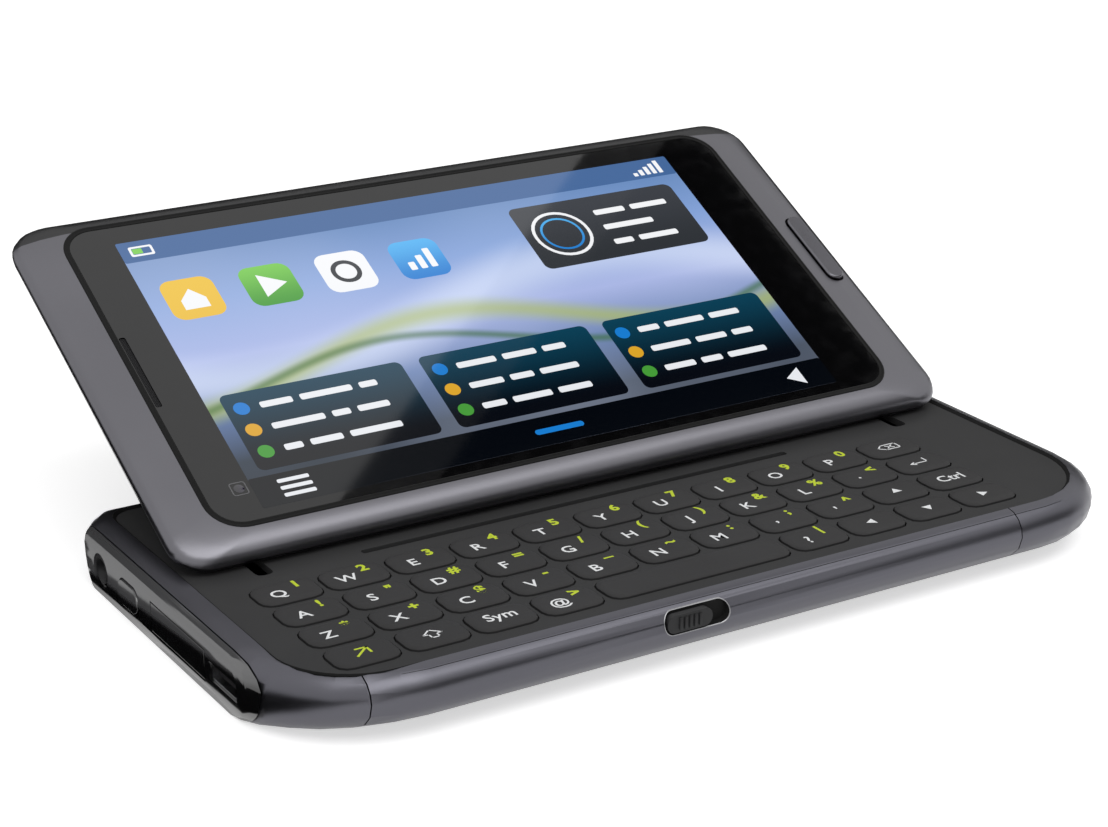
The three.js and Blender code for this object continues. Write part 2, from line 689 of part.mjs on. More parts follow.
function socket(y, length, height, middle) {
  const start = -halfLength + PORT_PANEL_THICKNESS + END_WALL + SOCKET_SETBACK;
  const outer = block(
    start, start + SOCKET_DEPTH,
    y - length / 2 - SOCKET_WALL, y + length / 2 + SOCKET_WALL,
    middle - height / 2 - SOCKET_WALL, boardBottom + BOARD_THICKNESS / 2,
  );
  const inner = block(
    start - OVERRUN, start + SOCKET_DEPTH - SOCKET_WALL,
    y - length / 2, y + length / 2, middle - height / 2, middle + height / 2,
  );
  return carve(outer, [inner]);
}

function mainBoard() {
  const box = {
    x0: -halfLength + PORT_PANEL_THICKNESS + END_WALL + BOARD_END_MARGIN,
    x1: plainSeamX + BOARD_OVERHANG,
    y0: -halfDepth + BOARD_FRONT_MARGIN,
    y1: BOARD_REAR_Y,
  };
  const corners = evenCorners(SMALLEST_CORNER);
  corners[0] = [FRONT_CORNER, BOARD_CORNER_DEPTH];
  const sheet = slab(roundedOutline(box, corners, KEY_CORNER_STEPS), boardBottom, boardTop);
  return fuse([sheet, socket(USB_Y, USB_LENGTH, USB_HEIGHT, PORT_HEIGHT)]);
}

function battery() {
  const box = centredBox(BATTERY_X, BATTERY_Y, BATTERY_LENGTH, BATTERY_DEPTH);
  const radius = BATTERY_HEIGHT / 2;
  const inner = centredBox(BATTERY_X, BATTERY_Y, BATTERY_LENGTH - radius / 2, BATTERY_DEPTH - radius / 2);
  const bottom = BASE_FLOOR + BOARD_GAP;
  const side = roundedOutline(box, evenCorners(radius), KEY_CORNER_STEPS);
  const edge = roundedOutline(inner, evenCorners(radius), KEY_CORNER_STEPS);
  return loft([
    { z: bottom, points: edge },
    { z: bottom + radius / 3, points: side },
    { z: bottom + BATTERY_HEIGHT - radius / 3, points: side },
    { z: bottom + BATTERY_HEIGHT, points: edge },
  ]);
}

// Tilting mechanism. The lid hangs on two arms that share one shaft, and its
// front edge runs over the deck, so the arm length and the shaft's place
// follow from where the lid's pins lie when it is open and when it is shut.

function lidPinAt(y, z, tilt) {
  const across = LID_PIN_Y;
  const rise = -LID_THICKNESS + LID_PIN_RISE;
  return {
    y: y + across * Math.cos(tilt) - rise * Math.sin(tilt),
    z: z + across * Math.sin(tilt) + rise * Math.cos(tilt),
  };
}

function lidEdgeProfile() {
  const points = [];
  const drop = LID_THICKNESS - LID_WIDEST_DEPTH;
  for (let step = 0; step <= BULGE_STEPS; step += 1) {
    const turn = QUARTER * step / BULGE_STEPS;
    points.push([
      -LID_DEPTH / 2 + LID_FRONT_UNDERCUT * (1 - Math.cos(turn)),
      -LID_WIDEST_DEPTH - drop * Math.sin(turn),
    ]);
  }
  return points;
}

function lidOpenHeight() {
  const heights = lidEdgeProfile().map(([y, z]) => y * Math.sin(LID_TILT) + z * Math.cos(LID_TILT));
  return deckTop + GLIDE_GAP - Math.min(...heights);
}

const lidOpenZ = lidOpenHeight();
const lidClosedZ = BASE_HEIGHT + CLOSED_GAP + LID_THICKNESS;
const pinOpen = lidPinAt(LID_OPEN_Y, lidOpenZ, LID_TILT);
const pinClosed = lidPinAt(0, lidClosedZ, 0);
const openSquare = pinOpen.y ** 2 + (pinOpen.z - PIVOT_HEIGHT) ** 2;
const closedSquare = pinClosed.y ** 2 + (pinClosed.z - PIVOT_HEIGHT) ** 2;
const pivotY = (openSquare - closedSquare) / (pinOpen.y - pinClosed.y) / 2;
const armLength = Math.hypot(pinOpen.y - pivotY, pinOpen.z - PIVOT_HEIGHT);
const armOpenAngle = Math.atan2(pinOpen.z - PIVOT_HEIGHT, pinOpen.y - pivotY);

const slotRearY = halfDepth - DECK_REAR_MARGIN - SLOT_REAR_MARGIN;
const boardTop = deckBottom - DECK_DROP - MAT_THICKNESS - BOARD_GAP * 2 - MAT_NUB_HEIGHT;
const boardBottom = boardTop - BOARD_THICKNESS;
const matBottom = boardTop + BOARD_GAP;
const matTop = matBottom + MAT_THICKNESS;
const nubTop = matTop + MAT_NUB_HEIGHT;
const keyBottom = nubTop + KEY_REST_GAP;
const plateTop = deckBottom - PLATE_DECK_GAP;
const plateBottom = plateTop - PLATE_THICKNESS;
const coverAxisX = -halfLength + COVER_THICKNESS / 2;
const coverAxisZ = COVER_BOTTOM + COVER_THICKNESS / 2;
const coverMiddle = COVER_BOTTOM + COVER_HEIGHT / 2;
const knuckleCentres = [-KNUCKLE_SPACING, 0, KNUCKLE_SPACING];
const cradleFrontY = pivotY - KNUCKLE_RADIUS;
const boardPosts = [
  [portSeamX + POST_RADIUS * 3, BOARD_REAR_Y - POST_RADIUS * 2],
  [plainSeamX - POST_RADIUS * 2, BOARD_REAR_Y - POST_RADIUS * 2],
  [plainSeamX - POST_RADIUS * 2, keyboardY],
  [portSeamX + POST_RADIUS * 3, keyboardY],
];
const plateProps = [
  [-PLATE_HALF_LENGTH + POST_RADIUS * 3, PLATE_FRONT_Y + POST_RADIUS * 2],
  [plainSeamX - POST_RADIUS * 2, PLATE_FRONT_Y + POST_RADIUS * 2],
];

// Room for the arms below the deck's slots, wherever those reach an end cap.
function armSlots() {
  return [-1, 1].map((side) => {
    const half = SLOT_WIDTH / 2;
    const eye = ARM_HALF_WIDTH + SHAFT_CLEARANCE + ARM_SIDE_CLEARANCE;
    return block(
      side * ARM_OFFSET - half, side * ARM_OFFSET + half,
      SLOT_FRONT_Y, pivotY + eye * 2, PIVOT_HEIGHT - eye, deckBottom + OVERRUN / 2,
    );
  });
}

// One arm, drawn in its own plane with the shaft at the origin.
function armPlate() {
  const points = [];
  const ends = [[0, ARM_HALF_WIDTH, -QUARTER * 3], [armLength, LID_EYE_RADIUS, -QUARTER]];
  for (const [along, radius, start] of ends) {
    for (let step = 0; step <= CORNER_STEPS; step += 1) {
      const angle = start + Math.PI * step / CORNER_STEPS;
      points.push([along + radius * Math.cos(angle), radius * Math.sin(angle)]);
    }
  }
  const outline = [...points.slice(CORNER_STEPS + 1), ...points.slice(0, CORNER_STEPS + 1)];
  const plate = shapeOf(outline);
  const bore = new THREE.Path();
  bore.absarc(armLength, 0, LID_PIN_RADIUS + PIN_CLEARANCE, 0, Math.PI * 2, true);
  plate.holes.push(bore);
  const geometry = new THREE.ExtrudeGeometry(
    plate, { depth: ARM_THICKNESS, bevelEnabled: false, curveSegments: CORNER_STEPS * 2 },
  );
  geometry.translate(0, 0, -ARM_THICKNESS / 2);
  return geometry;
}

function tiltFrame() {
  const arms = [-1, 1].map((side) => {
    const arm = armPlate();
    arm.rotateY(QUARTER).rotateX(QUARTER);
    arm.rotateX(armOpenAngle);
    return arm.translate(side * ARM_OFFSET, pivotY, PIVOT_HEIGHT);
  });
  const shaft = rodAlongX(SHAFT_RADIUS, -ARM_OFFSET, ARM_OFFSET, pivotY, PIVOT_HEIGHT, SMALL_ROUND_STEPS);
  return fuse([shaft, ...arms]);
}

// A steel plate under the deck carries the shaft in three knuckles.
function hingePlate() {
  const sheet = block(
    -PLATE_HALF_LENGTH, plainSeamX - BASE_WALL,
    PLATE_FRONT_Y, pivotY + KNUCKLE_RADIUS, plateBottom, plateTop,
  );
  const knuckles = knuckleCentres.map((x) => {
    const x0 = x - KNUCKLE_LENGTH / 2;
    const x1 = x + KNUCKLE_LENGTH / 2;
    const barrel = rodAlongX(KNUCKLE_RADIUS, x0, x1, pivotY, PIVOT_HEIGHT, ROUND_STEPS / 2);
    const web = block(x0, x1, pivotY - KNUCKLE_RADIUS, pivotY, PIVOT_HEIGHT, plateTop);
    return fuse([barrel, web]);
  });
  const bore = rodAlongX(
    SHAFT_RADIUS + SHAFT_CLEARANCE, -BASE_LENGTH, BASE_LENGTH, pivotY, PIVOT_HEIGHT, ROUND_STEPS / 2,
  );
  return carve(fuse([sheet, ...knuckles]), [bore]);
}

// Screen half, drawn flat with its glass at z = 0 and turned by its group

// The brim from the lid's widest line to the glass, as shares of the whole rise and inset.
// The long sides turn in one round curve. The ends turn sooner and then slope gently.
const lidBrimShares = [
  { rise: 0, side: 0, end: 0 },
  { rise: 0.3, side: 0.05, end: 0.04 },
  { rise: 0.56, side: 0.17, end: 0.16 },
  { rise: 0.8, side: 0.4, end: 0.5 },
  { rise: 0.95, side: 0.69, end: 0.87 },
  { rise: 1, side: 1, end: 1 },
];

function lidOutline(insets, corners) {
  const box = {
    x0: -LID_LENGTH / 2 + insets.port,
    x1: LID_LENGTH / 2 - insets.plain,
    y0: -LID_DEPTH / 2 + insets.front,
    y1: LID_DEPTH / 2 - insets.rear,
  };
  return roundedOutline(box, corners, CORNER_STEPS);
}

function lidUnderCorners(insets) {
  const radius = (inset) => Math.max(LID_CORNER - inset, LID_CORNER / 2);
  return [
    [radius(insets.port), radius(insets.front)],
    [radius(insets.plain), radius(insets.front)],
    [radius(insets.plain), radius(insets.rear)],
    [radius(insets.port), radius(insets.rear)],
  ];
}

function lidBody() {
  const brim = {
    port: LID_LENGTH / 2 + GLASS_X - GLASS_LENGTH / 2,
    plain: LID_LENGTH / 2 - GLASS_X - GLASS_LENGTH / 2,
    front: LID_DEPTH / 2 + GLASS_Y - GLASS_DEPTH / 2,
    rear: LID_DEPTH / 2 - GLASS_Y - GLASS_DEPTH / 2,
  };
  const under = {
    port: LID_END_UNDERCUT,
    plain: LID_END_UNDERCUT,
    front: LID_FRONT_UNDERCUT,
    rear: LID_REAR_UNDERCUT,
  };
  const scaled = (insets, sideShare, endShare) => ({
    port: insets.port * endShare,
    plain: insets.plain * endShare,
    front: insets.front * sideShare,
    rear: insets.rear * sideShare,
  });
  const levels = [];
  const drop = LID_THICKNESS - LID_WIDEST_DEPTH;
  for (let step = BULGE_STEPS; step > 0; step -= 1) {
    const turn = step / BULGE_STEPS;
    const share = profileShare(turn);
    const insets = scaled(under, share, share);
    const points = lidOutline(insets, lidUnderCorners(insets));
    levels.push({ z: -LID_WIDEST_DEPTH - drop * Math.sin(QUARTER * turn), points });
  }
  for (const { rise, side, end } of lidBrimShares) {
    const corners = evenCorners(LID_CORNER + (GLASS_CORNER - LID_CORNER) * side);
    const points = lidOutline(scaled(brim, side, end), corners);
    levels.push({ z: -LID_WIDEST_DEPTH * (1 - rise), points });
  }
  return loft(levels);
}

function glassOutline(grow) {
  const box = centredBox(GLASS_X, GLASS_Y, GLASS_LENGTH + grow * 2, GLASS_DEPTH + grow * 2);
  return roundedOutline(box, evenCorners(GLASS_CORNER + grow), CORNER_STEPS);
}

function homePill(grow) {
  const key = pill(HOME_LENGTH + grow * 2, HOME_WIDTH + grow * 2, HOME_THICKNESS, CORNER_STEPS);
  key.rotateZ(QUARTER);
  return key.translate(HOME_X, HOME_Y, HOME_PROUD - HOME_THICKNESS);
}

function armGroove(side) {
  const half = ARM_THICKNESS / 2 + ARM_SIDE_CLEARANCE;
  const front = LID_PIN_Y - GROOVE_REACH;
  return block(
    side * ARM_OFFSET - half, side * ARM_OFFSET + half,
    front, front + GROOVE_LENGTH, -LID_THICKNESS - OVERRUN, -LID_THICKNESS + GROOVE_DEPTH,
  );
}

function lidPin(side) {
  const half = ARM_THICKNESS / 2 + ARM_SIDE_CLEARANCE + LID_PIN_RADIUS;
  const z = -LID_THICKNESS + LID_PIN_RISE;
  return rodAlongX(
    LID_PIN_RADIUS, side * ARM_OFFSET - half, side * ARM_OFFSET + half, LID_PIN_Y, z, SMALL_ROUND_STEPS,
  );
}

function lidShell() {
  const pocketDepth = GLASS_THICKNESS + PANEL_THICKNESS + GLASS_FIT * 2;
  const ledgeDepth = GLASS_THICKNESS + GLASS_FIT;
  const glassPocket = slab(glassOutline(GLASS_FIT), -ledgeDepth, OVERRUN);
  const panelBox = centredBox(PANEL_X, 0, PANEL_LENGTH + GLASS_FIT * 2, PANEL_DEPTH + GLASS_FIT * 2);
  const panelPocket = slab(roundedOutline(panelBox, evenCorners(GLASS_FIT * 2), 2), -pocketDepth, OVERRUN);
  const homePocket = homePill(HOME_CLEARANCE).translate(0, 0, -HOME_REST_GAP);
  const homeMouth = homePill(HOME_CLEARANCE).translate(0, 0, HOME_THICKNESS / 2);
  const cutters = [glassPocket, panelPocket, homePocket, homeMouth, armGroove(-1), armGroove(1)];
  return fuse([carve(lidBody(), cutters), lidPin(-1), lidPin(1)]);
}

function displayGlass() {
  const slotX = GLASS_X - GLASS_LENGTH / 2 + EARPIECE_INSET;
  const slot = centredBox(slotX, EARPIECE_Y, EARPIECE_WIDTH, EARPIECE_LENGTH);
  const sheet = slab(glassOutline(0), -GLASS_THICKNESS, 0);
  const outline = roundedOutline(slot, evenCorners(EARPIECE_WIDTH / 3), KEY_CORNER_STEPS);
  return carve(sheet, [slab(outline, -GLASS_THICKNESS - OVERRUN, OVERRUN)]);
}

function displayPanel() {
  const top = -GLASS_THICKNESS - GLASS_FIT;
  const box = centredBox(PANEL_X, 0, PANEL_LENGTH, PANEL_DEPTH);
  return slab(roundedOutline(box, evenCorners(GLASS_FIT), 2), top - PANEL_THICKNESS, top);
}

function homeKey() {
  const base = HOME_PROUD - HOME_THICKNESS;
  const rimZ = HOME_PROUD - KEY_CHAMFER;
  const ring = (grow, z) => {
    const box = centredBox(HOME_X, HOME_Y, HOME_WIDTH + grow * 2, HOME_LENGTH + grow * 2);
    const radius = HOME_WIDTH / 2 - HOME_WIDTH / ROUND_STEPS + grow;
    return { z, points: roundedOutline(box, evenCorners(radius), KEY_CORNER_STEPS) };
  };
  return loft([ring(0, base), ring(0, rimZ), ring(-KEY_CHAMFER, HOME_PROUD)]);
}

// Sliders: a thumb piece in a round-ended pocket, ribbed where the thumb pushes

function thumbPiece(length, width, thickness, side) {
  const thumb = pill(length, width, thickness, CORNER_STEPS);
  thumb.rotateX(-side * QUARTER);
  return thumb;
}

function lockSlider() {
  const thumb = thumbPiece(LOCK_THUMB_LENGTH, LOCK_THUMB_WIDTH, SLIDER_THICKNESS, -1);
  const x = LOCK_X - (LOCK_POCKET_LENGTH - LOCK_THUMB_LENGTH) / 2 + SLIDER_GAP;
  const floorY = -halfDepth + SLIDER_POCKET_DEPTH - SLIDER_GAP;
  const ridges = [];
  for (let ridge = 0; ridge < LOCK_RIDGE_COUNT; ridge += 1) {
    const offset = (ridge - (LOCK_RIDGE_COUNT - 1) / 2) * LOCK_RIDGE_WIDTH * 2;
    ridges.push(block(
      offset - LOCK_RIDGE_WIDTH / 2, offset + LOCK_RIDGE_WIDTH / 2,
      -SLIDER_THICKNESS - LOCK_RIDGE_HEIGHT, -SLIDER_THICKNESS / 2,
      -LOCK_THUMB_WIDTH / 3, LOCK_THUMB_WIDTH / 3,
    ));
  }
  return fuse([thumb, ...ridges]).translate(x, floorY, LOCK_HEIGHT);
}

function volumeSlider() {
  const thumb = thumbPiece(VOLUME_THUMB_LENGTH, VOLUME_THUMB_WIDTH, SLIDER_THICKNESS, 1);
  return thumb.translate(VOLUME_X, halfDepth - SLIDER_POCKET_DEPTH + SLIDER_GAP, VOLUME_HEIGHT);
}

// Assembly

const phone = new THREE.Group();
phone.name = 'slider_phone';

function place(parent, name, geometry, material) {
  const mesh = new THREE.Mesh(geometry, material);
  mesh.name = name;
  parent.add(mesh);
  return mesh;
}

function buildBase(parent) {
  const hull = hollowHull();
  place(parent, 'base_shell', baseShell(hull), finishes.anodised);
  place(parent, 'port_end_cap', portEndCap(hull), finishes.anodised);
  place(parent, 'plain_end_cap', plainEndCap(hull), finishes.anodised);
  place(parent, 'port_panel', portPanel(), finishes.gloss);
  place(parent, 'power_button', powerButton(0), finishes.gloss);
  place(parent, 'port_cover', portCover(), finishes.gloss);
  place(parent, 'lock_slider', lockSlider(), finishes.deck);
  place(parent, 'volume_slider', volumeSlider(), finishes.deck);
  place(parent, 'hinge_plate', hingePlate(), finishes.steel);
  place(parent, 'main_board', mainBoard(), finishes.circuit);
  place(parent, 'battery', battery(), finishes.cell);
}

function buildKeyboard(parent) {
  const places = keyPlaces();
  place(parent, 'keyboard_deck', keyboardDeck(places), finishes.deck);
  place(parent, 'key_mat', keyMat(places), finishes.membrane);
  for (const spot of places) {
    place(parent, `key_${spot.name}`, keycap(spot), finishes.keycap);
  }
}

function buildLid(parent) {
  const lid = new THREE.Group();
  lid.position.set(0, LID_OPEN_Y, lidOpenZ);
  lid.rotation.x = LID_TILT;
  parent.add(lid);
  place(lid, 'lid_shell', lidShell(), finishes.anodised);
  place(lid, 'display_glass', displayGlass(), finishes.glass);
  place(lid, 'display_panel', displayPanel(), finishes.display);
  place(lid, 'home_key', homeKey(), finishes.anodised);
}

buildBase(phone);
buildKeyboard(phone);
place(phone, 'tilt_frame', tiltFrame(), finishes.steel);
buildLid(phone);

export default phone;
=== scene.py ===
# %% [markdown]
# A slider phone, shown open
#
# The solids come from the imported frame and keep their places. This script gives
# them their finishes, adds the thin pieces that have no part in the mechanics,
# and sets up a camera and a plain studio.

# %% Load the frame
import json
import math

import bmesh
import bpy
from mathutils import Matrix, Vector


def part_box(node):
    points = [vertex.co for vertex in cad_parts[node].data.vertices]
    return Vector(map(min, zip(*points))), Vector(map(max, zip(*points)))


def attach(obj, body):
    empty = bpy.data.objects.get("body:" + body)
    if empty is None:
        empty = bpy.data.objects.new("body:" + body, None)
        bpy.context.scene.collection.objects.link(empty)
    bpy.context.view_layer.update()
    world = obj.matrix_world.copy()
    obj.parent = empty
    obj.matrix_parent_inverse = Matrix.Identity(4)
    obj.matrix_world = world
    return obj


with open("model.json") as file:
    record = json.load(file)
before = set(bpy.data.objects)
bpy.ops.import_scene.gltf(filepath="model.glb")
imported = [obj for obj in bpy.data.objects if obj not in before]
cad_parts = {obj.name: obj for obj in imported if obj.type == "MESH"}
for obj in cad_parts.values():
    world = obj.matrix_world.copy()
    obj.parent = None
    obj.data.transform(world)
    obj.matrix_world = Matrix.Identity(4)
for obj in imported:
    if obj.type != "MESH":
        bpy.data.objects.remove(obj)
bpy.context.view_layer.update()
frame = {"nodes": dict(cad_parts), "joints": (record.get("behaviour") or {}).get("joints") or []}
nodes = frame["nodes"]
MM = 0.001

# %% [markdown]
# Camera
#
# The place and the direction follow from the key grid and the picture's corners
# in the photograph. A long lens keeps the lines nearly parallel, and a slight
# turn about the line of sight levels the frame.

# %% Camera
CAMERA_PLACE = Vector((-168.40, -260.32, 136.04)) * MM
CAMERA_AZIMUTH = math.radians(31.398)
CAMERA_ELEVATION = math.radians(20.454)
CAMERA_ROLL = math.radians(-0.037)
CAMERA_LENS = 83.62
SENSOR_WIDTH = 36
CLIP_NEAR = 0.01
CLIP_FAR = 20


def add_camera():
    data = bpy.data.cameras.new("camera")
    data.lens = CAMERA_LENS
    data.sensor_width = SENSOR_WIDTH
    data.clip_start = CLIP_NEAR
    data.clip_end = CLIP_FAR
    camera = bpy.data.objects.new("camera", data)
    bpy.context.scene.collection.objects.link(camera)
    forward = Vector((
        math.sin(CAMERA_AZIMUTH) * math.cos(CAMERA_ELEVATION),
        math.cos(CAMERA_AZIMUTH) * math.cos(CAMERA_ELEVATION),
        -math.sin(CAMERA_ELEVATION),
    ))
    turn = forward.to_track_quat("-Z", "Y").to_matrix().to_4x4()
    roll = Matrix.Rotation(CAMERA_ROLL, 4, "Z")
    camera.matrix_world = Matrix.Translation(CAMERA_PLACE) @ turn @ roll
    bpy.context.scene.camera = camera


add_camera()
bpy.context.scene.view_settings.view_transform = "Standard"
print("camera", [round(v / MM, 1) for v in CAMERA_PLACE], "mm, lens", CAMERA_LENS)

# %% [markdown]
# Shader maths
#
# A finish is a formula over the surface. Writing it as wires is hard to read,
# so a small class wraps a socket and lets Python's own signs add the nodes.
# Every other node comes from one method of the tree, which takes the node's
# type, its settings and what its sockets get.

# %% Shader maths
class Value:
    """A number or colour that varies over a surface: a socket of a node tree."""

    def __init__(self, owner, socket):
        self.owner = owner
        self.socket = socket

    def math(self, operation, *others):
        return self.owner.node("ShaderNodeMath", [self, *others], operation=operation)

    def __add__(self, other):
        return self.math("ADD", other)

    __radd__ = __add__

    def __sub__(self, other):
        return self.math("SUBTRACT", other)

    def __rsub__(self, other):
        return self.owner.node("ShaderNodeMath", [other, self], operation="SUBTRACT")

    def __mul__(self, other):
        return self.math("MULTIPLY", other)

    __rmul__ = __mul__

    def __abs__(self):
        return self.math("ABSOLUTE")

    def sine(self):
        return self.math("SINE")

    def larger(self, other):
        return self.math("MAXIMUM", other)

    def fade(self, start, end):
        """0 at start and 1 at end, smooth between them."""
        return self.owner.node(
            "ShaderNodeMapRange", {"Value": self, "From Min": start, "From Max": end},
            interpolation_type="SMOOTHSTEP",
        )


class Tree:
    """A tree of nodes, with one way to add a node of any type."""

    def __init__(self, tree):
        self.tree = tree

    def put(self, socket, value):
        if isinstance(value, Value):
            self.tree.links.new(value.socket, socket)
        elif hasattr(value, "__len__") and len(value) == 3 and socket.type == "RGBA":
            socket.default_value = (*value, 1)
        else:
            socket.default_value = value

    def node(self, kind, inputs, output=0, stops=None, **settings):
        made = self.tree.nodes.new(kind)
        for name, setting in settings.items():
            setattr(made, name, setting)
        if stops:
            ramp = made.color_ramp
            for place, color in stops[2:]:
                ramp.elements.new(place)
            for element, (place, color) in zip(ramp.elements, stops):
                element.position = place
                element.color = (*color, 1)
        pairs = enumerate(inputs) if isinstance(inputs, list) else inputs.items()
        for name, value in pairs:
            self.put(made.inputs[name], value)
        return Value(self, made.outputs[output])

    def looked_at(self):
        """1 where the camera, a mirror or glass looks, and 0 where light falls."""
        rays = ("Is Camera Ray", "Is Glossy Ray", "Is Transmission Ray")
        camera, mirror, glass = [self.node("ShaderNodeLightPath", {}, output=ray) for ray in rays]
        return camera.larger(mirror).larger(glass)


class Paint(Tree):
    """A material that is being made."""

    def __init__(self, name, roughness=0.5, metallic=0.0, specular=0.5, coat=0.0, glow=0.0):
        self.material = bpy.data.materials.new(name)
        self.material.use_nodes = True
        super().__init__(self.material.node_tree)
        self.shader = self.tree.nodes["Principled BSDF"]
        self.set("Roughness", roughness)
        self.set("Metallic", metallic)
        self.set("Specular IOR Level", specular)
        self.set("Coat Weight", coat)
        self.set("Emission Strength", glow)

    def set(self, name, value):
        self.put(self.shader.inputs[name], value)

    def place(self):
        return self.node("ShaderNodeTexCoord", {}, output="Object")

    def along(self, axis):
        """How far a point lies along the object's own X, Y or Z, in millimetres."""
        return self.node("ShaderNodeSeparateXYZ", [self.place()], output=axis) * (1 / MM)

    def noise(self, scale, detail=2.0, where=None):
        inputs = {"Vector": where or self.place(), "Scale": scale, "Detail": detail}
        return self.node("ShaderNodeTexNoise", inputs)

    def mix(self, share, low, high):
        """A colour between two colours."""
        return self.node("ShaderNodeMix", {0: share, 6: low, 7: high}, output=2, data_type="RGBA")

    def bump(self, height, distance, strength=1.0):
        inputs = {"Height": height, "Distance": distance, "Strength": strength}
        self.set("Normal", self.node("ShaderNodeBump", inputs))


print("shader helpers ready")

# %% [markdown]
# Anodised aluminium
#
# The housing is blasted before it is dyed, so the metal glitters finely and its
# highlights are broad. Handling dulls it in soft patches. Two noises give
# this: a very fine one for the blast and a wide one for the patches. The grain
# could also be real displacement, but at this size a bump looks the same.

# %% Anodised aluminium
# The lid and the housing are one anodised metal. The lid's dye is lighter and the housing's
# darker: painted light on the lid and painted shade on the housing.
LID_DYE_PAINTED_LIGHTER = (0.142, 0.140, 0.154)
BASE_DYE_PAINTED_DARKER = (0.103, 0.102, 0.117)
WORN = 1.25
PATCH_SCALE = 38
GRAIN_SCALE = 9000
GRAIN_DEPTH = 0.006


def blasted(paint, dye):
    """The colour of blasted and dyed metal, and how much rougher each place is."""
    patches = paint.noise(PATCH_SCALE, 3).fade(0.35, 0.7)
    grain = paint.noise(GRAIN_SCALE, 1)
    paint.bump(grain, GRAIN_DEPTH * MM, 0.5)
    color = paint.mix(patches * 0.3 + grain * 0.3, dye, [c * WORN for c in dye])
    return color, patches * 0.05 + grain * 0.06


def anodised(name, dye, roughness):
    paint = Paint(name, metallic=1.0)
    color, rougher = blasted(paint, dye)
    paint.set("Base Color", color)
    paint.set("Roughness", roughness + rougher)
    return paint.material


housing = anodised("anodised_housing", BASE_DYE_PAINTED_DARKER, 0.30)
home_metal = anodised("anodised_home", LID_DYE_PAINTED_LIGHTER, 0.25)
print("metals: lid", LID_DYE_PAINTED_LIGHTER, "housing", BASE_DYE_PAINTED_DARKER)

# %% [markdown]
# Plastics and rubber
#
# The deck and the keys are moulded in one charcoal plastic with a soft-touch
# lacquer, so they reflect very little. A low specular level does that, and a
# fine bump breaks up what is left. The battery's wrap and the board lie hidden,
# but they show when the solids are taken apart, so they get finishes too.

# %% Plastics
HANDLED_SCALE = 60
HANDLED = 1.3


def soft_plastic(name, color, roughness, grain_scale, depth, specular=0.12):
    paint = Paint(name, specular=specular)
    grain = paint.noise(grain_scale, 2)
    wide = paint.noise(HANDLED_SCALE, 2).fade(0.3, 0.7)
    lighter = [c * HANDLED for c in color]
    paint.set("Base Color", paint.mix(wide * 0.4 + grain * 0.4, color, lighter))
    paint.set("Roughness", roughness + grain * 0.1 - wide * 0.04)
    paint.bump(grain, depth * MM, 0.6)
    return paint.material


deck = soft_plastic("deck_plastic", (0.0330, 0.0330, 0.0335), 0.55, 5200, 0.012)
keycap = soft_plastic("keycap_lacquer", (0.0330, 0.0325, 0.0330), 0.50, 7000, 0.006)
grip = soft_plastic("slider_plastic", (0.012, 0.012, 0.013), 0.45, 6000, 0.008, 0.3)
rubber = soft_plastic("membrane_rubber", (0.010, 0.010, 0.010), 0.75, 3000, 0.010)
wrap = soft_plastic("battery_wrap", (0.22, 0.23, 0.25), 0.42, 2600, 0.010, 0.4)
print("soft plastics: 5")

# %% [markdown]
# Circuit board
#
# A board is green lacquer over copper, and the copper shows as slightly lighter
# tracks. A brick pattern with long bricks looks like rows of tracks, and costs
# one node.

# %% Circuit board
TRACKS = (160, 900, 1)


def lacquered_board():
    paint = Paint("circuit_lacquer", specular=0.4)
    stretched = paint.node("ShaderNodeMapping", {"Vector": paint.place(), "Scale": TRACKS})
    rows = paint.node(
        "ShaderNodeTexBrick",
        {"Vector": stretched, "Color1": (0.012, 0.085, 0.035), "Color2": (0.016, 0.11, 0.045),
         "Mortar": (0.03, 0.17, 0.07), "Scale": 1.0, "Mortar Size": 0.06},
    )
    paint.set("Base Color", rows)
    paint.set("Roughness", 0.3 + paint.noise(500, 2) * 0.15)
    return paint.material


board = lacquered_board()
print("board finish ready")

# %% [markdown]
# Black gloss
#
# The port panel and the glass's border are so dark that the eye sees only what
# they mirror, with fine swirls from wiping. The port panel is moulded with a
# slight crown, so its upper part mirrors the bright room and its lower part the
# dark sheet on the table. A bump that follows a parabola over the height gives
# that crown without another mesh. The crown runs a little aslant, so the light
# part narrows towards the front. The upper part is also painted a little grey,
# a painted reflection of the bright room.

# %% Black gloss
GLOSS_DARK = (0.0020, 0.0020, 0.0023)
GLOSS_SWIRL = (0.0030, 0.0030, 0.0034)
# Painted reflection: the panel's upper part fades from black to this grey.
PORT_PAINTED_REFLECTION = (0.075, 0.075, 0.078)
PORT_MIDDLE_HEIGHT = 1.5
PORT_CROWN = 0.060
PORT_SLANT = 0.0865
PAINTED_REFLECTION_FROM = 2.3
PAINTED_REFLECTION_FULL = 3.3


def black_gloss(name, specular, roughness):
    paint = Paint(name, specular=specular)
    swirl = paint.noise(420, 4).fade(0.4, 0.75)
    paint.set("Base Color", paint.mix(swirl, GLOSS_DARK, GLOSS_SWIRL))
    paint.set("Roughness", roughness + swirl * 0.02)
    return paint


def crowned_gloss(name):
    paint = black_gloss(name, 1.0, 0.12)
    rise = paint.along("Z") + paint.along("Y") * PORT_SLANT - PORT_MIDDLE_HEIGHT
    upper = rise.fade(PAINTED_REFLECTION_FROM, PAINTED_REFLECTION_FULL)
    paint.set("Base Color", paint.mix(upper, GLOSS_SWIRL, PORT_PAINTED_REFLECTION))
    paint.bump(rise * rise * -PORT_CROWN, MM)
    return paint.material


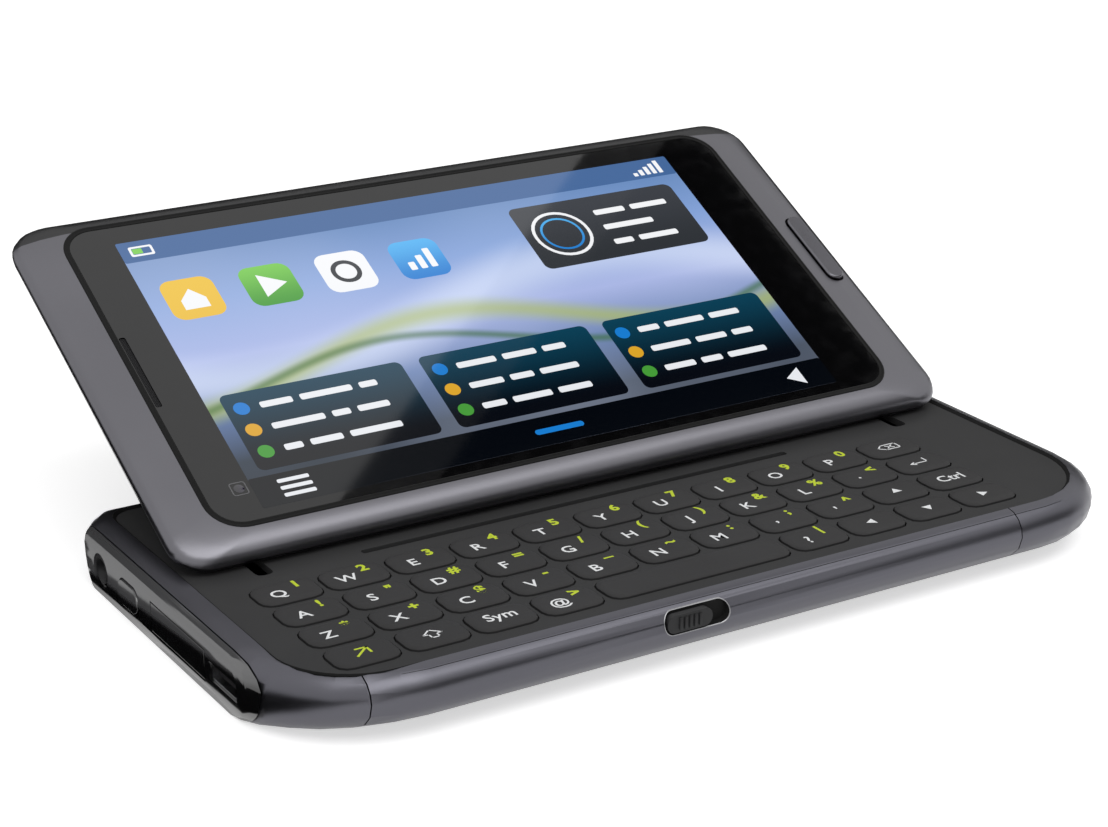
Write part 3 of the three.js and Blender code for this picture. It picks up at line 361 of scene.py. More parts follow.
gloss = black_gloss("piano_black", 0.6, 0.03).material
port_gloss = crowned_gloss("port_black")
print("middle of the port panel's crown at", PORT_MIDDLE_HEIGHT, "mm")

# %% [markdown]
# Satin steel
#
# The arms, the shaft and the hinge plate are rolled steel. Rolling leaves fine
# parallel lines, so one noise is stretched hard along X.

# %% Satin steel
ROLLED = (60, 1400, 1400)


def steel(name, dark, light, roughness):
    paint = Paint(name, metallic=1.0)
    stretched = paint.node("ShaderNodeMapping", {"Vector": paint.place(), "Scale": ROLLED})
    lines = paint.noise(1, 3, stretched)
    paint.set("Base Color", paint.mix(lines, dark, light))
    paint.set("Roughness", roughness + lines * 0.16)
    return paint.material


hinge_metal = steel("satin_steel", (0.10, 0.10, 0.105), (0.17, 0.17, 0.175), 0.28)
bright_metal = steel("bright_trim", (0.55, 0.55, 0.57), (0.75, 0.75, 0.77), 0.16)
bezel_metal = steel("bezel_steel", (0.24, 0.24, 0.25), (0.36, 0.36, 0.37), 0.22)
print("steels: 3")

# %% [markdown]
# Lid plane
#
# The screen half leans back. Its plane is read from the frame: the home key's
# joint runs square to the glass, and the glass's box gives the plane's middle.
# Pieces on the screen are then drawn flat, in millimetres, and turned by LID.

# %% Lid plane
def lid_plane():
    axis = next(j["axis"] for j in frame["joints"] if j["name"] == "home_press")
    sine, cosine = axis[1], -axis[2]
    low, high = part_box("display_glass")
    size = high - low
    depth = (size.y * cosine - size.z * sine) / (cosine ** 2 - sine ** 2)
    half = depth / 2
    middle = Vector(((low.x + high.x) / 2, low.y + half * cosine, high.z - half * sine))
    turn = Matrix(((1, 0, 0), (0, cosine, -sine), (0, sine, cosine))).to_4x4()
    print("glass:", round(size.x / MM, 2), "x", round(depth / MM, 2), "mm")
    print("tilt:", round(math.degrees(math.asin(sine)), 2), "degrees")
    return Matrix.Translation(middle) @ turn, size.x / MM, depth / MM


LID, GLASS_LENGTH, GLASS_DEPTH = lid_plane()

# %% [markdown]
# Two finishes on the screen half
#
# Behind a fine line on the screen half's rear edge, the rim is painted black:
# painted shade along that edge. The solid is one piece, so the finish changes over
# it: the distance up the lid's plane is worked out from Y and Z, and a narrow
# fade of it mixes the dye with black.

# %% Two finishes on the screen half
REAR_RIM = 0.35
REAR_RIM_START = GLASS_DEPTH / 2 - REAR_RIM
RIM_FADE = 0.12
# Painted shade: the rear rim fades from the dye to this black.
RIM_PAINTED_SHADE = (0.006, 0.006, 0.007)


def lid_finish(name, dye, roughness):
    paint = Paint(name)
    middle = LID.translation / MM
    up = LID.to_3x3() @ Vector((0, 1, 0))
    distance = paint.along("Y") * up.y + paint.along("Z") * up.z - middle.dot(up)
    rim = distance.fade(REAR_RIM_START, REAR_RIM_START + RIM_FADE)
    color, rougher = blasted(paint, dye)
    paint.set("Base Color", paint.mix(rim, color, RIM_PAINTED_SHADE))
    paint.set("Metallic", 1 - rim)
    paint.set("Roughness", roughness + rougher + rim * 0.1)
    return paint.material


lid_metal = lid_finish("anodised_lid", LID_DYE_PAINTED_LIGHTER, 0.27)
print("black rim from", round(REAR_RIM_START, 2), "mm behind the glass's middle")

# %% [markdown]
# Finishes on the solids
#
# The frame's solids come with hard facets. Merging their doubled corners and
# smoothing by angle shows the curves as curves. The buttons, sliders, flap and
# arms get a fine bevel, which catches the light as a machined edge does. Flat
# faces that were split into triangles are joined before it, because a bevel goes
# wrong on slivers. The glossy panel turns its corners in fewer steps and shows
# them more, so it is smoothed over larger angles. None of this moves a solid.

# %% Finishes on the solids
FLAT_WITHIN = math.radians(0.6)
SHARP_ABOVE = math.radians(38)
SHARP_ON_GLOSS = math.radians(62)
WELD_WITHIN = 0.002


def dress(name, material, bevel=0.0, sharp=SHARP_ABOVE):
    piece = nodes[name]
    piece.data.materials.clear()
    piece.data.materials.append(material)
    weld = piece.modifiers.new("weld", "WELD")
    weld.merge_threshold = WELD_WITHIN * MM
    if bevel:
        join = piece.modifiers.new("join_flat_faces", "DECIMATE")
        join.decimate_type = "DISSOLVE"
        join.angle_limit = FLAT_WITHIN
        edge = piece.modifiers.new("bevel", "BEVEL")
        edge.width = bevel * MM
        edge.segments = 2
        edge.limit_method = "ANGLE"
        edge.angle_limit = SHARP_ABOVE
        edge.use_clamp_overlap = True
        edge.harden_normals = False
    else:
        split = piece.modifiers.new("sharp_edges", "EDGE_SPLIT")
        split.split_angle = sharp
    for face in piece.data.polygons:
        face.use_smooth = True
    normals = piece.modifiers.new("normals", "WEIGHTED_NORMAL")
    normals.keep_sharp = True


FINISHES = [  # piece, finish, bevel in mm, angle above which an edge stays sharp
    ("base_shell", housing), ("port_end_cap", housing), ("plain_end_cap", housing),
    ("lid_shell", lid_metal), ("home_key", home_metal, 0.06),
    ("port_panel", port_gloss, 0.0, SHARP_ON_GLOSS), ("power_button", port_gloss, 0.10),
    ("port_cover", port_gloss, 0.06), ("lock_slider", grip, 0.05), ("volume_slider", grip, 0.10),
    ("keyboard_deck", deck), ("key_mat", rubber), ("tilt_frame", hinge_metal, 0.05),
    ("hinge_plate", hinge_metal), ("main_board", board), ("battery", wrap),
    ("display_panel", gloss), ("display_glass", gloss),
]
for finish in FINISHES:
    dress(*finish)
key_nodes = sorted(name for name in nodes if name.startswith("key_") and name != "key_mat")
for node in key_nodes:
    dress(node, keycap)
print("dressed", len(nodes), "solids,", len(key_nodes), "of them keys")

# %% [markdown]
# Tools for thin pieces
#
# Most of the added pieces are flat plates, rings and turned parts. Each is a
# list of points in millimetres and the faces between them, so three small
# makers are enough. Every piece is closed, so it looks right from behind too.

# %% Tools for thin pieces
def around(x, y, radius, angle):
    """The point at an angle on a circle about x, y."""
    return x + radius * math.cos(angle), y + radius * math.sin(angle)


def rounded(length, depth, radius, x=0.0, y=0.0, steps=6):
    """The outline of a rectangle with round corners."""
    corners = ((-1, -1, 180), (1, -1, 270), (1, 1, 0), (-1, 1, 90))
    points = []
    for side_x, side_y, start in corners:
        middle_x = x + side_x * (length / 2 - radius)
        middle_y = y + side_y * (depth / 2 - radius)
        for step in range(steps + 1):
            angle = math.radians(start + 90 * step / steps)
            points.append(around(middle_x, middle_y, radius, angle))
    return points


def plate(outline, low, high):
    """The points and faces of a flat plate."""
    count = len(outline)
    points = [(x, y, z) for z in (low, high) for x, y in outline]
    faces = [tuple(reversed(range(count))), tuple(range(count, 2 * count))]
    faces += [(i, (i + 1) % count, count + (i + 1) % count, count + i) for i in range(count)]
    return points, faces


def hoop(loops):
    """A closed ring through loops of points, the last joined to the first."""
    count = len(loops[0])
    points = [point for loop in loops for point in loop]
    faces = []
    for row in range(len(loops)):
        after = (row + 1) % len(loops)
        for i in range(count):
            j = (i + 1) % count
            faces.append((row * count + i, row * count + j, after * count + j, after * count + i))
    return points, faces


def turned(profile, steps=32):
    """A turned part about Z, from [radius, height] pairs that start and end on the axis."""
    inner = profile[1:-1]
    points = [(0, 0, profile[0][1])]
    for radius, height in inner:
        for step in range(steps):
            points.append((*around(0, 0, radius, math.tau * step / steps), height))
    points.append((0, 0, profile[-1][1]))
    last = len(points) - 1
    faces = [(0, 1 + (i + 1) % steps, 1 + i) for i in range(steps)]
    for row in range(len(inner) - 1):
        low = 1 + row * steps
        for i in range(steps):
            j = (i + 1) % steps
            faces.append((low + i, low + j, low + steps + j, low + steps + i))
    top = 1 + (len(inner) - 1) * steps
    faces += [(top + i, top + (i + 1) % steps, last) for i in range(steps)]
    return points, faces


def add_piece(name, shapes, body, matrix=None, smooth=False):
    """One object from several (points, faces, material) shapes, riding on a body."""
    mesh = bpy.data.meshes.new(name)
    points, faces, materials, numbers = [], [], [], []
    for shape_points, shape_faces, material in shapes:
        start = len(points)
        points += [Vector(point) * MM for point in shape_points]
        faces += [tuple(start + corner for corner in face) for face in shape_faces]
        if material not in materials:
            materials.append(material)
        numbers += [materials.index(material)] * len(shape_faces)
    mesh.from_pydata(points, [], faces)
    for material in materials:
        mesh.materials.append(material)
    mesh.polygons.foreach_set("material_index", numbers)
    mesh.polygons.foreach_set("use_smooth", [smooth] * len(faces))
    made = bmesh.new()
    made.from_mesh(mesh)
    bmesh.ops.recalc_face_normals(made, faces=made.faces)
    made.to_mesh(mesh)
    made.free()
    piece = bpy.data.objects.new(name, mesh)
    bpy.context.scene.collection.objects.link(piece)
    piece.matrix_world = matrix or Matrix.Identity(4)
    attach(piece, body)


print("makers ready: plate, hoop, turned")

# %% [markdown]
# Gasket round the glass
#
# The glass lies in a shallow pocket of the metal, and a soft black gasket fills
# the joint. It stands a hair proud, and its crown draws one thin line round the
# glass. The same outline at several distances makes its section.

# %% Gasket
GLASS_CORNER = 4.5
GASKET_SECTION = [
    (-0.55, 0.01), (-0.42, 0.05), (-0.25, 0.03), (0.02, 0.03), (0.20, 0.08), (0.29, 0.03),
    (0.29, -0.30),
]


def around_glass(distance, height):
    length, depth = GLASS_LENGTH + 2 * distance, GLASS_DEPTH + 2 * distance
    outline = rounded(length, depth, GLASS_CORNER + distance, steps=10)
    return [(x, y, height) for x, y in outline]


def gasket_black():
    paint = Paint("gasket_rubber", specular=0.12)
    dust = paint.noise(1500)
    paint.set("Base Color", paint.mix(dust, (0.003, 0.003, 0.003), (0.006, 0.006, 0.006)))
    paint.set("Roughness", 0.28 + dust * 0.08)
    return paint.material


gasket = hoop([around_glass(*step) for step in GASKET_SECTION])
add_piece("glass_gasket", [(*gasket, gasket_black())], "lid", LID, smooth=True)
print("gasket", round(GLASS_LENGTH + 2 * GASKET_SECTION[-1][0], 2), "mm long")

# %% [markdown]
# Picture on the display
#
# A lit display sends out its own light, and the glass over it still mirrors the
# room. So its material has a black base, a glossy surface and an emission
# colour. The wallpaper is a formula: a sky that pales towards the middle, with
# soft bands that follow sine curves. It is drawn in millimetres from the
# picture's middle.

# %% Wallpaper
PICTURE_LENGTH = 88.55
PICTURE_DEPTH = 49.81
PICTURE_X = -0.96
PICTURE_Y = -0.87
PICTURE = LID @ Matrix.Translation(Vector((PICTURE_X, PICTURE_Y, 0)) * MM)
SKY_STOPS = [
    (0.00, (0.002, 0.004, 0.009)),
    (0.16, (0.004, 0.016, 0.030)),
    (0.34, (0.110, 0.190, 0.400)),
    (0.52, (0.400, 0.470, 0.780)),
    (0.74, (0.230, 0.360, 0.680)),
    (1.00, (0.085, 0.200, 0.430)),
]
SKY_HAZE = (0.62, 0.70, 0.92)
BANDS = [  # level, swing, wave, shift, width, strength and colour
    (2, 6, 0.060, 0.4, 7.0, 0.55, (0.72, 0.80, 0.98)),
    (-3, 5, 0.075, 2.1, 3.2, 0.65, (0.42, 0.50, 0.06)),
    (-5, 4, 0.082, 2.9, 1.3, 0.70, (0.05, 0.16, 0.03)),
]


def lit(name):
    return Paint(name, roughness=0.05, specular=0.5, glow=1.0)


def band(across, up, level, swing, wave, shift, width):
    """How much of a soft band shows: 1 on a sine curve, 0 beyond its width."""
    curve = (across * wave + shift).sine() * swing + level
    return 1 - abs(up - curve).fade(0, width)


def wallpaper():
    paint = lit("screen_wallpaper")
    paint.set("Base Color", (0, 0, 0))
    across = paint.along("X")
    up = paint.along("Y")
    share = up * (1 / PICTURE_DEPTH) + 0.5
    sky = paint.node("ShaderNodeValToRGB", {"Fac": share}, stops=SKY_STOPS)
    haze = paint.noise(22, 1).fade(0.3, 0.8)
    sky = paint.mix(haze * 0.25, sky, SKY_HAZE)
    for *curve, strength, color in BANDS:
        sky = paint.mix(band(across, up, *curve) * strength, sky, color)
    paint.set("Emission Color", sky)
    return paint.material


screen = plate(rounded(PICTURE_LENGTH, PICTURE_DEPTH, 0.3, steps=2), 0.002, 0.010)
add_piece("screen_picture", [(*screen, wallpaper())], "lid", PICTURE)
print("picture", PICTURE_LENGTH, "x", PICTURE_DEPTH, "mm")

# %% [markdown]
# Panels, icons and bars
#
# The home screen has dark panels with rows of short bars, and a few round and
# square icons. They could be part of the wallpaper's formula, but as thin plates
# their edges stay crisp at any distance. Each colour is one material that
# changes a little up the picture.

# %% Panels, icons and bars
def glow_paint(name, low, high, start=-24.0, end=24.0):
    paint = lit(name)
    paint.set("Base Color", (0, 0, 0))
    paint.set("Emission Color", paint.mix(paint.along("Y").fade(start, end), low, high))
    return paint.material


panel_glow = glow_paint("screen_panel_dark", (0.002, 0.003, 0.006), (0.004, 0.055, 0.100), -18, -3)
slate_glow = glow_paint("screen_slate", (0.030, 0.034, 0.040), (0.050, 0.055, 0.066), 6, 20)
strip_glow = glow_paint("screen_strip", (0.001, 0.002, 0.004), (0.060, 0.140, 0.330), -20, 22)
white_glow = glow_paint("screen_white", (0.80, 0.82, 0.86), (0.92, 0.93, 0.95))
green_glow = glow_paint("screen_green", (0.06, 0.32, 0.04), (0.22, 0.62, 0.10), 8, 18)
blue_glow = glow_paint("screen_blue", (0.01, 0.20, 0.62), (0.10, 0.48, 0.90), 8, 18)
amber_glow = glow_paint("screen_amber", (0.70, 0.36, 0.02), (0.85, 0.55, 0.06), -18, 18)


MARK_FOOT = 0.004
BAR_DEPTH = 1.05


def mark(material, x, y, length, depth, radius=None, level=0.03):
    """A flat plate with round corners; a full round when no radius is given."""
    corner = min(length, depth) / 2 * 0.98 if radius is None else radius
    return (*plate(rounded(length, depth, corner, x, y, 5), MARK_FOOT, level), material)


def row_of_bars(x, y, lengths, gap=1.1):
    """Bars of several lengths in one row, from x to the right."""
    made = []
    for length in lengths:
        made.append(mark(white_glow, x + length / 2, y, length, BAR_DEPTH, 0.3))
        x += length + gap
    return made


STATUS_Y = 22.9
MENU_Y = -22.4
marks = [mark(strip_glow, 0, STATUS_Y, PICTURE_LENGTH, 4.0, 0.3, 0.016)]
marks.append(mark(strip_glow, 0, MENU_Y, PICTURE_LENGTH, 5.0, 0.3, 0.016))
PANEL_LENGTH = 26.4
FIRST_ROW = -8.2
ROW_PITCH = 3.9
LOWER_PANELS = [(-29.0, [4.6, 7.5, 2.6]), (0.0, [6.0, 5.2, 3.6]), (29.0, [3.4, 6.4, 5.0])]
for panel_x, lengths in LOWER_PANELS:
    left = panel_x - PANEL_LENGTH / 2
    marks.append(mark(panel_glow, panel_x, -12.2, PANEL_LENGTH, 13.6, 1.0, 0.02))
    for row, dot in enumerate((blue_glow, amber_glow, green_glow)):
        y = FIRST_ROW - row * ROW_PITCH
        marks.append(mark(dot, left + 2.2, y, 2.2, 2.2))
        marks += row_of_bars(left + 4.8, y, lengths[row:] + lengths[:row])
print("lower panels:", len(LOWER_PANELS))

# %% [markdown]
# Dial and icons
#
# The upper half holds a slate with a round dial, and four icons. A ring is a
# hoop, and every icon is a rounded tile with a plain sign on it: a house, a
# triangle, a ring or three bars.

# %% Dial and icons
SIGN_LEVEL = 0.036


def ring_mark(material, x, y, radius, width, level=0.034):
    inside = radius - width
    inner = rounded(2 * inside, 2 * inside, inside * 0.98, x, y, 8)
    outer = rounded(2 * radius, 2 * radius, radius * 0.98, x, y, 8)
    section = ((inner, MARK_FOOT), (outer, MARK_FOOT), (outer, level), (inner, level))
    return (*hoop([[(px, py, z) for px, py in line] for line, z in section]), material)


def cut_out(points):
    """A white sign cut along straight lines."""
    return (*plate(points, MARK_FOOT, SIGN_LEVEL), white_glow)


DIAL_X = 19.6
ICON_Y = 12.6
marks.append(mark(slate_glow, 27.6, ICON_Y, 28.0, 13.0, 1.2, 0.02))
marks.append(ring_mark(white_glow, DIAL_X, ICON_Y, 4.6, 0.5))
marks.append(ring_mark(blue_glow, DIAL_X, ICON_Y, 3.3, 0.35))
for y, lengths in ((15.6, [5.2, 6.2]), (12.4, [8.4]), (9.2, [3.2, 6.6])):
    marks += row_of_bars(26.6, y, lengths)
TILES = ((-38.0, amber_glow), (-26.6, green_glow), (-15.2, white_glow), (-3.8, blue_glow))
for tile_x, tile in TILES:
    marks.append(mark(tile, tile_x, ICON_Y, 7.6, 7.6, 1.7, 0.026))
HOUSE = [(-39.8, 10.6), (-36.2, 10.6), (-36.2, 12.4), (-38.0, 14.4), (-39.8, 12.4)]
marks.append(cut_out(HOUSE))
marks.append(cut_out([(-28.0, 10.4), (-24.2, 12.6), (-28.0, 14.8)]))
marks.append(ring_mark(slate_glow, -15.2, ICON_Y, 2.2, 0.7))
for step, height in enumerate((1.6, 2.7, 3.8)):
    x, y = -5.4 + step * 1.6, 10.6 + height / 2
    marks.append(mark(white_glow, x, y, 1.0, height, 0.2, SIGN_LEVEL))
for step in range(5):
    height = 0.7 + step * 0.5
    marks.append(mark(white_glow, 37.6 + step * 1.1, 21.6 + height / 2, 0.7, height, 0.1))
marks.append(mark(white_glow, -41.2, STATUS_Y, 3.4, 1.9, 0.3))
marks.append(mark(strip_glow, -41.2, STATUS_Y, 2.7, 1.2, 0.15, SIGN_LEVEL))
marks.append(mark(green_glow, -41.8, STATUS_Y, 1.4, 1.0, 0.1, 0.038))
for row in range(3):
    marks.append(mark(white_glow, -38.6, -21.2 - row * 1.2, 4.4, 0.6, 0.2))
marks.append(mark(blue_glow, 0, MENU_Y, 7.5, 0.9))
marks.append(cut_out([(37.2, MENU_Y), (39.8, -20.8), (39.8, -24.0)]))
add_piece("screen_marks", marks, "lid", PICTURE)
print("marks on the picture:", len(marks))

# %% [markdown]
# Earpiece and front camera
#
# The earpiece is a slot in the glass with a fine woven mesh under it. Two sine
# waves, one along each direction, make the weave. The front camera is a small
# turned lens in a thin steel frame. A real one lies under the glass, but the
# glass here is black all through, so this one stands a hair above it.

# %% Earpiece and front camera
EARPIECE_X = -GLASS_LENGTH / 2 + 1.1
EARPIECE_Y = 0.4
EARPIECE_LENGTH = 12.8
EARPIECE_WIDTH = 0.82
WEAVE = 22
FRONT_CAMERA_X = -46.9
FRONT_CAMERA_Y = -21.9


def woven(name):
    paint = Paint(name, metallic=1.0)
    warp = (paint.along("X") * WEAVE).sine()
    weft = (paint.along("Y") * WEAVE).sine()
    weave = warp * weft * 0.5 + 0.5
    paint.set("Base Color", paint.mix(weave, (0.003, 0.003, 0.003), (0.030, 0.030, 0.032)))
    paint.set("Roughness", 0.5 - weave * 0.15)
    paint.bump(weave, 0.05 * MM)
    return paint.material


slot = rounded(EARPIECE_WIDTH, EARPIECE_LENGTH, 0.4, EARPIECE_X, EARPIECE_Y)
grille = plate(slot, -0.45, -0.10)
add_piece("earpiece_grille", [(*grille, woven("earpiece_weave"))], "lid", LID)


def lens_black():
    paint = Paint("lens_glass", specular=0.8, coat=0.5)
    rings = (paint.along("X") * 3).sine() * 0.5 + 0.5
    paint.set("Base Color", paint.mix(rings, (0.004, 0.003, 0.008), (0.010, 0.006, 0.022)))
    paint.set("Roughness", 0.04 + rings * 0.03)
    return paint.material


lens_glass = lens_black()
FRAME_SIDE = 2.2
FRAME_SECTION = ((-0.16, 0.004), (0, 0.004), (0, 0.02), (-0.16, 0.02))


def frame_loop(grow, z):
    side = FRAME_SIDE + 2 * grow
    return [(x, y, z) for x, y in rounded(side, side, 0.4 + grow, steps=4)]


frame_shape = hoop([frame_loop(*step) for step in FRAME_SECTION])
eye = turned([(0, 0.004), (0.7, 0.004), (0.7, 0.02), (0.45, 0.05), (0, 0.07)], 24)
FRONT_CAMERA = LID @ Matrix.Translation(Vector((FRONT_CAMERA_X, FRONT_CAMERA_Y, 0)) * MM)
front_camera = [(*frame_shape, hinge_metal), (*eye, lens_glass)]
add_piece("front_camera", front_camera, "lid", FRONT_CAMERA)
print("earpiece", EARPIECE_LENGTH, "mm, front camera at", FRONT_CAMERA_X, FRONT_CAMERA_Y)

# %% [markdown]
# Signs on the keys
#
# Most keys carry a white letter left of the middle and a second sign in yellow
# green at the upper right. The others carry one sign or a short word, and the
# space key none. They are printed, so they are thin and flat. Letters come from
# Blender's own font, turned into a mesh, and the signs that no font has are
# drawn from strokes.

# %% Inks
def ink(name, color):
    paint = Paint(name, specular=0.3)
    wear = paint.noise(2400, 2).fade(0.35, 0.75)
    paint.set("Base Color", paint.mix(wear * 0.25, color, [c * 0.6 for c in color]))
    paint.set("Roughness", 0.45 + wear * 0.15)
    return paint.material


white_ink = ink("white_ink", (0.86, 0.87, 0.88))
yellow_ink = ink("yellow_green_ink", (0.56, 0.68, 0.03))
INK_THICKNESS = 0.012
CAPITAL_HEIGHT = 0.70


def letter_shape(text, height, x, y, material, weight=0.012):
    """The points and faces of printed text, in millimetres, with its middle at x, y."""
    curve = bpy.data.curves.new("letter", "FONT")
    curve.body = text
    curve.resolution_u = 3
    curve.extrude = 0.001
    curve.offset = weight
    holder = bpy.data.objects.new("letter", curve)
    bpy.context.scene.collection.objects.link(holder)
    flat = bpy.data.meshes.new_from_object(holder)
    corners = [vertex.co.copy() for vertex in flat.vertices]
    faces = [tuple(face.vertices) for face in flat.polygons]
    bpy.data.objects.remove(holder)
    bpy.data.curves.remove(curve)
    bpy.data.meshes.remove(flat)
    low_x, high_x = min(c.x for c in corners), max(c.x for c in corners)
    low_y, high_y = min(c.y for c in corners), max(c.y for c in corners)
    size = height / CAPITAL_HEIGHT
    middle_x, middle_y = (low_x + high_x) / 2, (low_y + high_y) / 2
    points = [
        ((c.x - middle_x) * size + x, (c.y - middle_y) * size + y, INK_THICKNESS if c.z > 0 else 0)
        for c in corners
    ]
    return points, faces, material


print("inks:", INK_THICKNESS, "mm thick")

# %% [markdown]
# Strokes
#
# A drawn sign is a line with a width. Each straight piece becomes a small plate,
# and plates that overlap at the corners read as one line.

# %% Strokes
def stroke(points, width, material):
    """Plates along a line of points."""
    made = []
    for (x0, y0), (x1, y1) in zip(points, points[1:]):
        length = math.hypot(x1 - x0, y1 - y0)
        along = Vector(((x1 - x0) / length, (y1 - y0) / length)) * width / 2
        side = Vector((-along.y, along.x))
        start, end = Vector((x0, y0)) - along, Vector((x1, y1)) + along
        outline = [tuple(start - side), tuple(end - side), tuple(end + side), tuple(start + side)]
        made.append((*plate(outline, 0, INK_THICKNESS), material))
    return made


def arrow_head(angle, size, material, x=0.0, y=0.0):
    """A filled triangle that points along an angle in degrees."""
    outline = [around(x, y, size, math.radians(angle + turn)) for turn in (0, 120, 240)]
    return [(*plate(outline, 0, INK_THICKNESS), material)]


LINE = 0.2
WIDE_LINE = 0.3
TAG_LINE = [(-1.7, 0), (-0.8, 0.8), (1.5, 0.8), (1.5, -0.8), (-0.8, -0.8), (-1.7, 0)]
SHIFT_LINE = [
    (-0.5, -0.9), (0.5, -0.9), (0.5, 0), (1.2, 0), (0, 1.1), (-1.2, 0), (-0.5, 0), (-0.5, -0.9),
]
backspace_sign = (
    stroke(TAG_LINE, LINE, white_ink)
    + stroke([(-0.3, 0.4), (0.7, -0.4)], LINE, white_ink)
    + stroke([(-0.3, -0.4), (0.7, 0.4)], LINE, white_ink))
enter_sign = (
    stroke([(1.2, 0.9), (1.2, -0.3), (-1.0, -0.3)], LINE, white_ink)
    + arrow_head(180, 0.6, white_ink, -1.1, -0.3))
shift_sign = stroke(SHIFT_LINE, LINE, white_ink)
function_sign = (
    stroke([(-0.9, -0.8), (0.7, 0.7)], WIDE_LINE, yellow_ink)
    + stroke([(-0.4, 0.95), (0.95, 0.95)], WIDE_LINE, yellow_ink)
    + stroke([(0.95, 0.95), (0.95, -0.4)], WIDE_LINE, yellow_ink))
print("drawn signs: 4")

# %% [markdown]
# Table of signs
#
# The first sign of a key is white. The second is yellow green, like the sign of
# the function key that calls it up. The keys' names are those of the frame.

# %% Table of signs
LETTER_HEIGHT = 1.85
WORD_HEIGHT = 1.8
SECOND_HEIGHT = 1.75
SECOND_WEIGHT = 0.035
ARROW_SIZE = 0.85
LETTER_PLACE = (-1.2, -0.5)
SECOND_PLACE = (1.75, 1.35)
seconds = dict(zip("qwertyuiop", "1234567890"))
seconds.update(zip("asdfghjkl", '!"#=/()&%'))
seconds.update(zip("zxcvbnm", "*+$-_~:"))
seconds.update({"comma": ";", "apostrophe": "^", "period": "<", "at": ">", "question": "|"})
plain_signs = {"comma": ",", "apostrophe": "'", "period": ".", "at": "@", "question": "?"}
words = {"sym": "Sym", "ctrl": "Ctrl"}
arrows = {"up": 90, "down": 270, "left": 180, "right": 0}
drawn = {
    "backspace": backspace_sign, "enter": enter_sign, "shift": shift_sign, "fn": function_sign,
}


def signs_of(key):
    if key in drawn:
        return drawn[key]
    if key in arrows:
        return arrow_head(arrows[key], ARROW_SIZE, white_ink)
    if key in words:
        return [letter_shape(words[key], WORD_HEIGHT, 0, 0, white_ink)]
    if key == "space":
        return []
    main = plain_signs.get(key, key.upper())
    shapes = [letter_shape(main, LETTER_HEIGHT, *LETTER_PLACE, white_ink)]
    if key in seconds:
        second = (seconds[key], SECOND_HEIGHT, *SECOND_PLACE, yellow_ink, SECOND_WEIGHT)
        shapes.append(letter_shape(*second))
    return shapes


printed = 0
for node in key_nodes:
    key = node.removeprefix("key_")
    shapes = signs_of(key)
    if shapes:
        low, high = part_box(node)
        middle = Vector(((low.x + high.x) / 2, (low.y + high.y) / 2, high.z))
        add_piece("sign_" + key, shapes, "keycap_" + key, Matrix.Translation(middle))
        printed += 1
print("printed keys:", printed)

# %% [markdown]
# Bezel of the lock slider
#
# The lock slider sits in a pocket of the curved front side, and a thin bright
# bezel lines the pocket's mouth. The side is a quarter of an ellipse above and
# below its widest line, so every point of the bezel asks that curve how far in
# it lies.

# %% Bezel of the lock slider
LOCK_X = -9.1
LOCK_HEIGHT = 6.5
LOCK_LENGTH = 9.4
LOCK_WIDTH = 2.9
WIDEST_HEIGHT = 5.6
BRIM_INSET = 3.1
UNDERCUT = 11.0
base_low, base_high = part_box("base_shell")
FRONT_Y = base_low.y / MM
HOUSING_TOP = base_high.z / MM


def front_side(height):
    """The Y of the front side at a height above the table."""
    above = height > WIDEST_HEIGHT
    reach = HOUSING_TOP - WIDEST_HEIGHT if above else WIDEST_HEIGHT
    share = min(abs(height - WIDEST_HEIGHT) / reach, 1)
    return FRONT_Y + (BRIM_INSET if above else UNDERCUT) * (1 - math.sqrt(1 - share * share))


def bezel_loop(grow, proud):
    length, width = LOCK_LENGTH + 2 * grow, LOCK_WIDTH + 2 * grow
    outline = rounded(length, width, width / 2 - 0.05, LOCK_X, LOCK_HEIGHT)
    return [(x, front_side(z) - proud, z) for x, z in outline]


BEZEL_SECTION = [(-0.06, -0.5), (-0.06, 0.02), (-0.02, 0.03), (0.04, 0.02), (0.06, -0.1)]
bezel = hoop([bezel_loop(*step) for step in BEZEL_SECTION])
add_piece("lock_bezel", [(*bezel, bezel_metal)], "base", smooth=True)
print("bezel", LOCK_LENGTH, "x", LOCK_WIDTH, "mm, housing top", round(HOUSING_TOP, 2))

# %% [markdown]
# Painted shade in the lock slider's pocket
#
# A black liner in the slider's pocket is painted shade: it makes the free end of
# the pocket look like a dark hollow. The liner is a thin wall inside the bezel and
# a thin floor, and both leave the slider's own clearance free.

# %% Painted shade in the lock slider's pocket
LOCK_POCKET_DEPTH = 1.1
SHADE_OUT = -0.07
SHADE_IN = -0.12
SHADE_FOOT = 0.01
SHADE_FLOOR = 0.05


def pocket_point(x, z, lift):
    """A point above the pocket's floor, by a lift towards its mouth."""
    return x, FRONT_Y + LOCK_POCKET_DEPTH - lift, z


def shade_outline(grow):
    """The wall's outline on the pocket's floor."""
    return [pocket_point(x, z, SHADE_FOOT) for x, y, z in bezel_loop(grow, 0)]


# A black wall and floor in the pocket, as painted shade.
shade_wall = hoop([
    bezel_loop(SHADE_OUT, -0.08), bezel_loop(SHADE_IN, -0.10),
    shade_outline(SHADE_IN), shade_outline(SHADE_OUT),
])
outline = [(x, z) for x, y, z in shade_outline(SHADE_OUT)]
points, faces = plate(outline, SHADE_FOOT, SHADE_FOOT + SHADE_FLOOR)
shade_floor_plate = ([pocket_point(*point) for point in points], faces, rubber)
add_piece("lock_pocket_shade", [(*shade_wall, rubber), shade_floor_plate], "base")
print("liner", LOCK_POCKET_DEPTH, "mm deep")

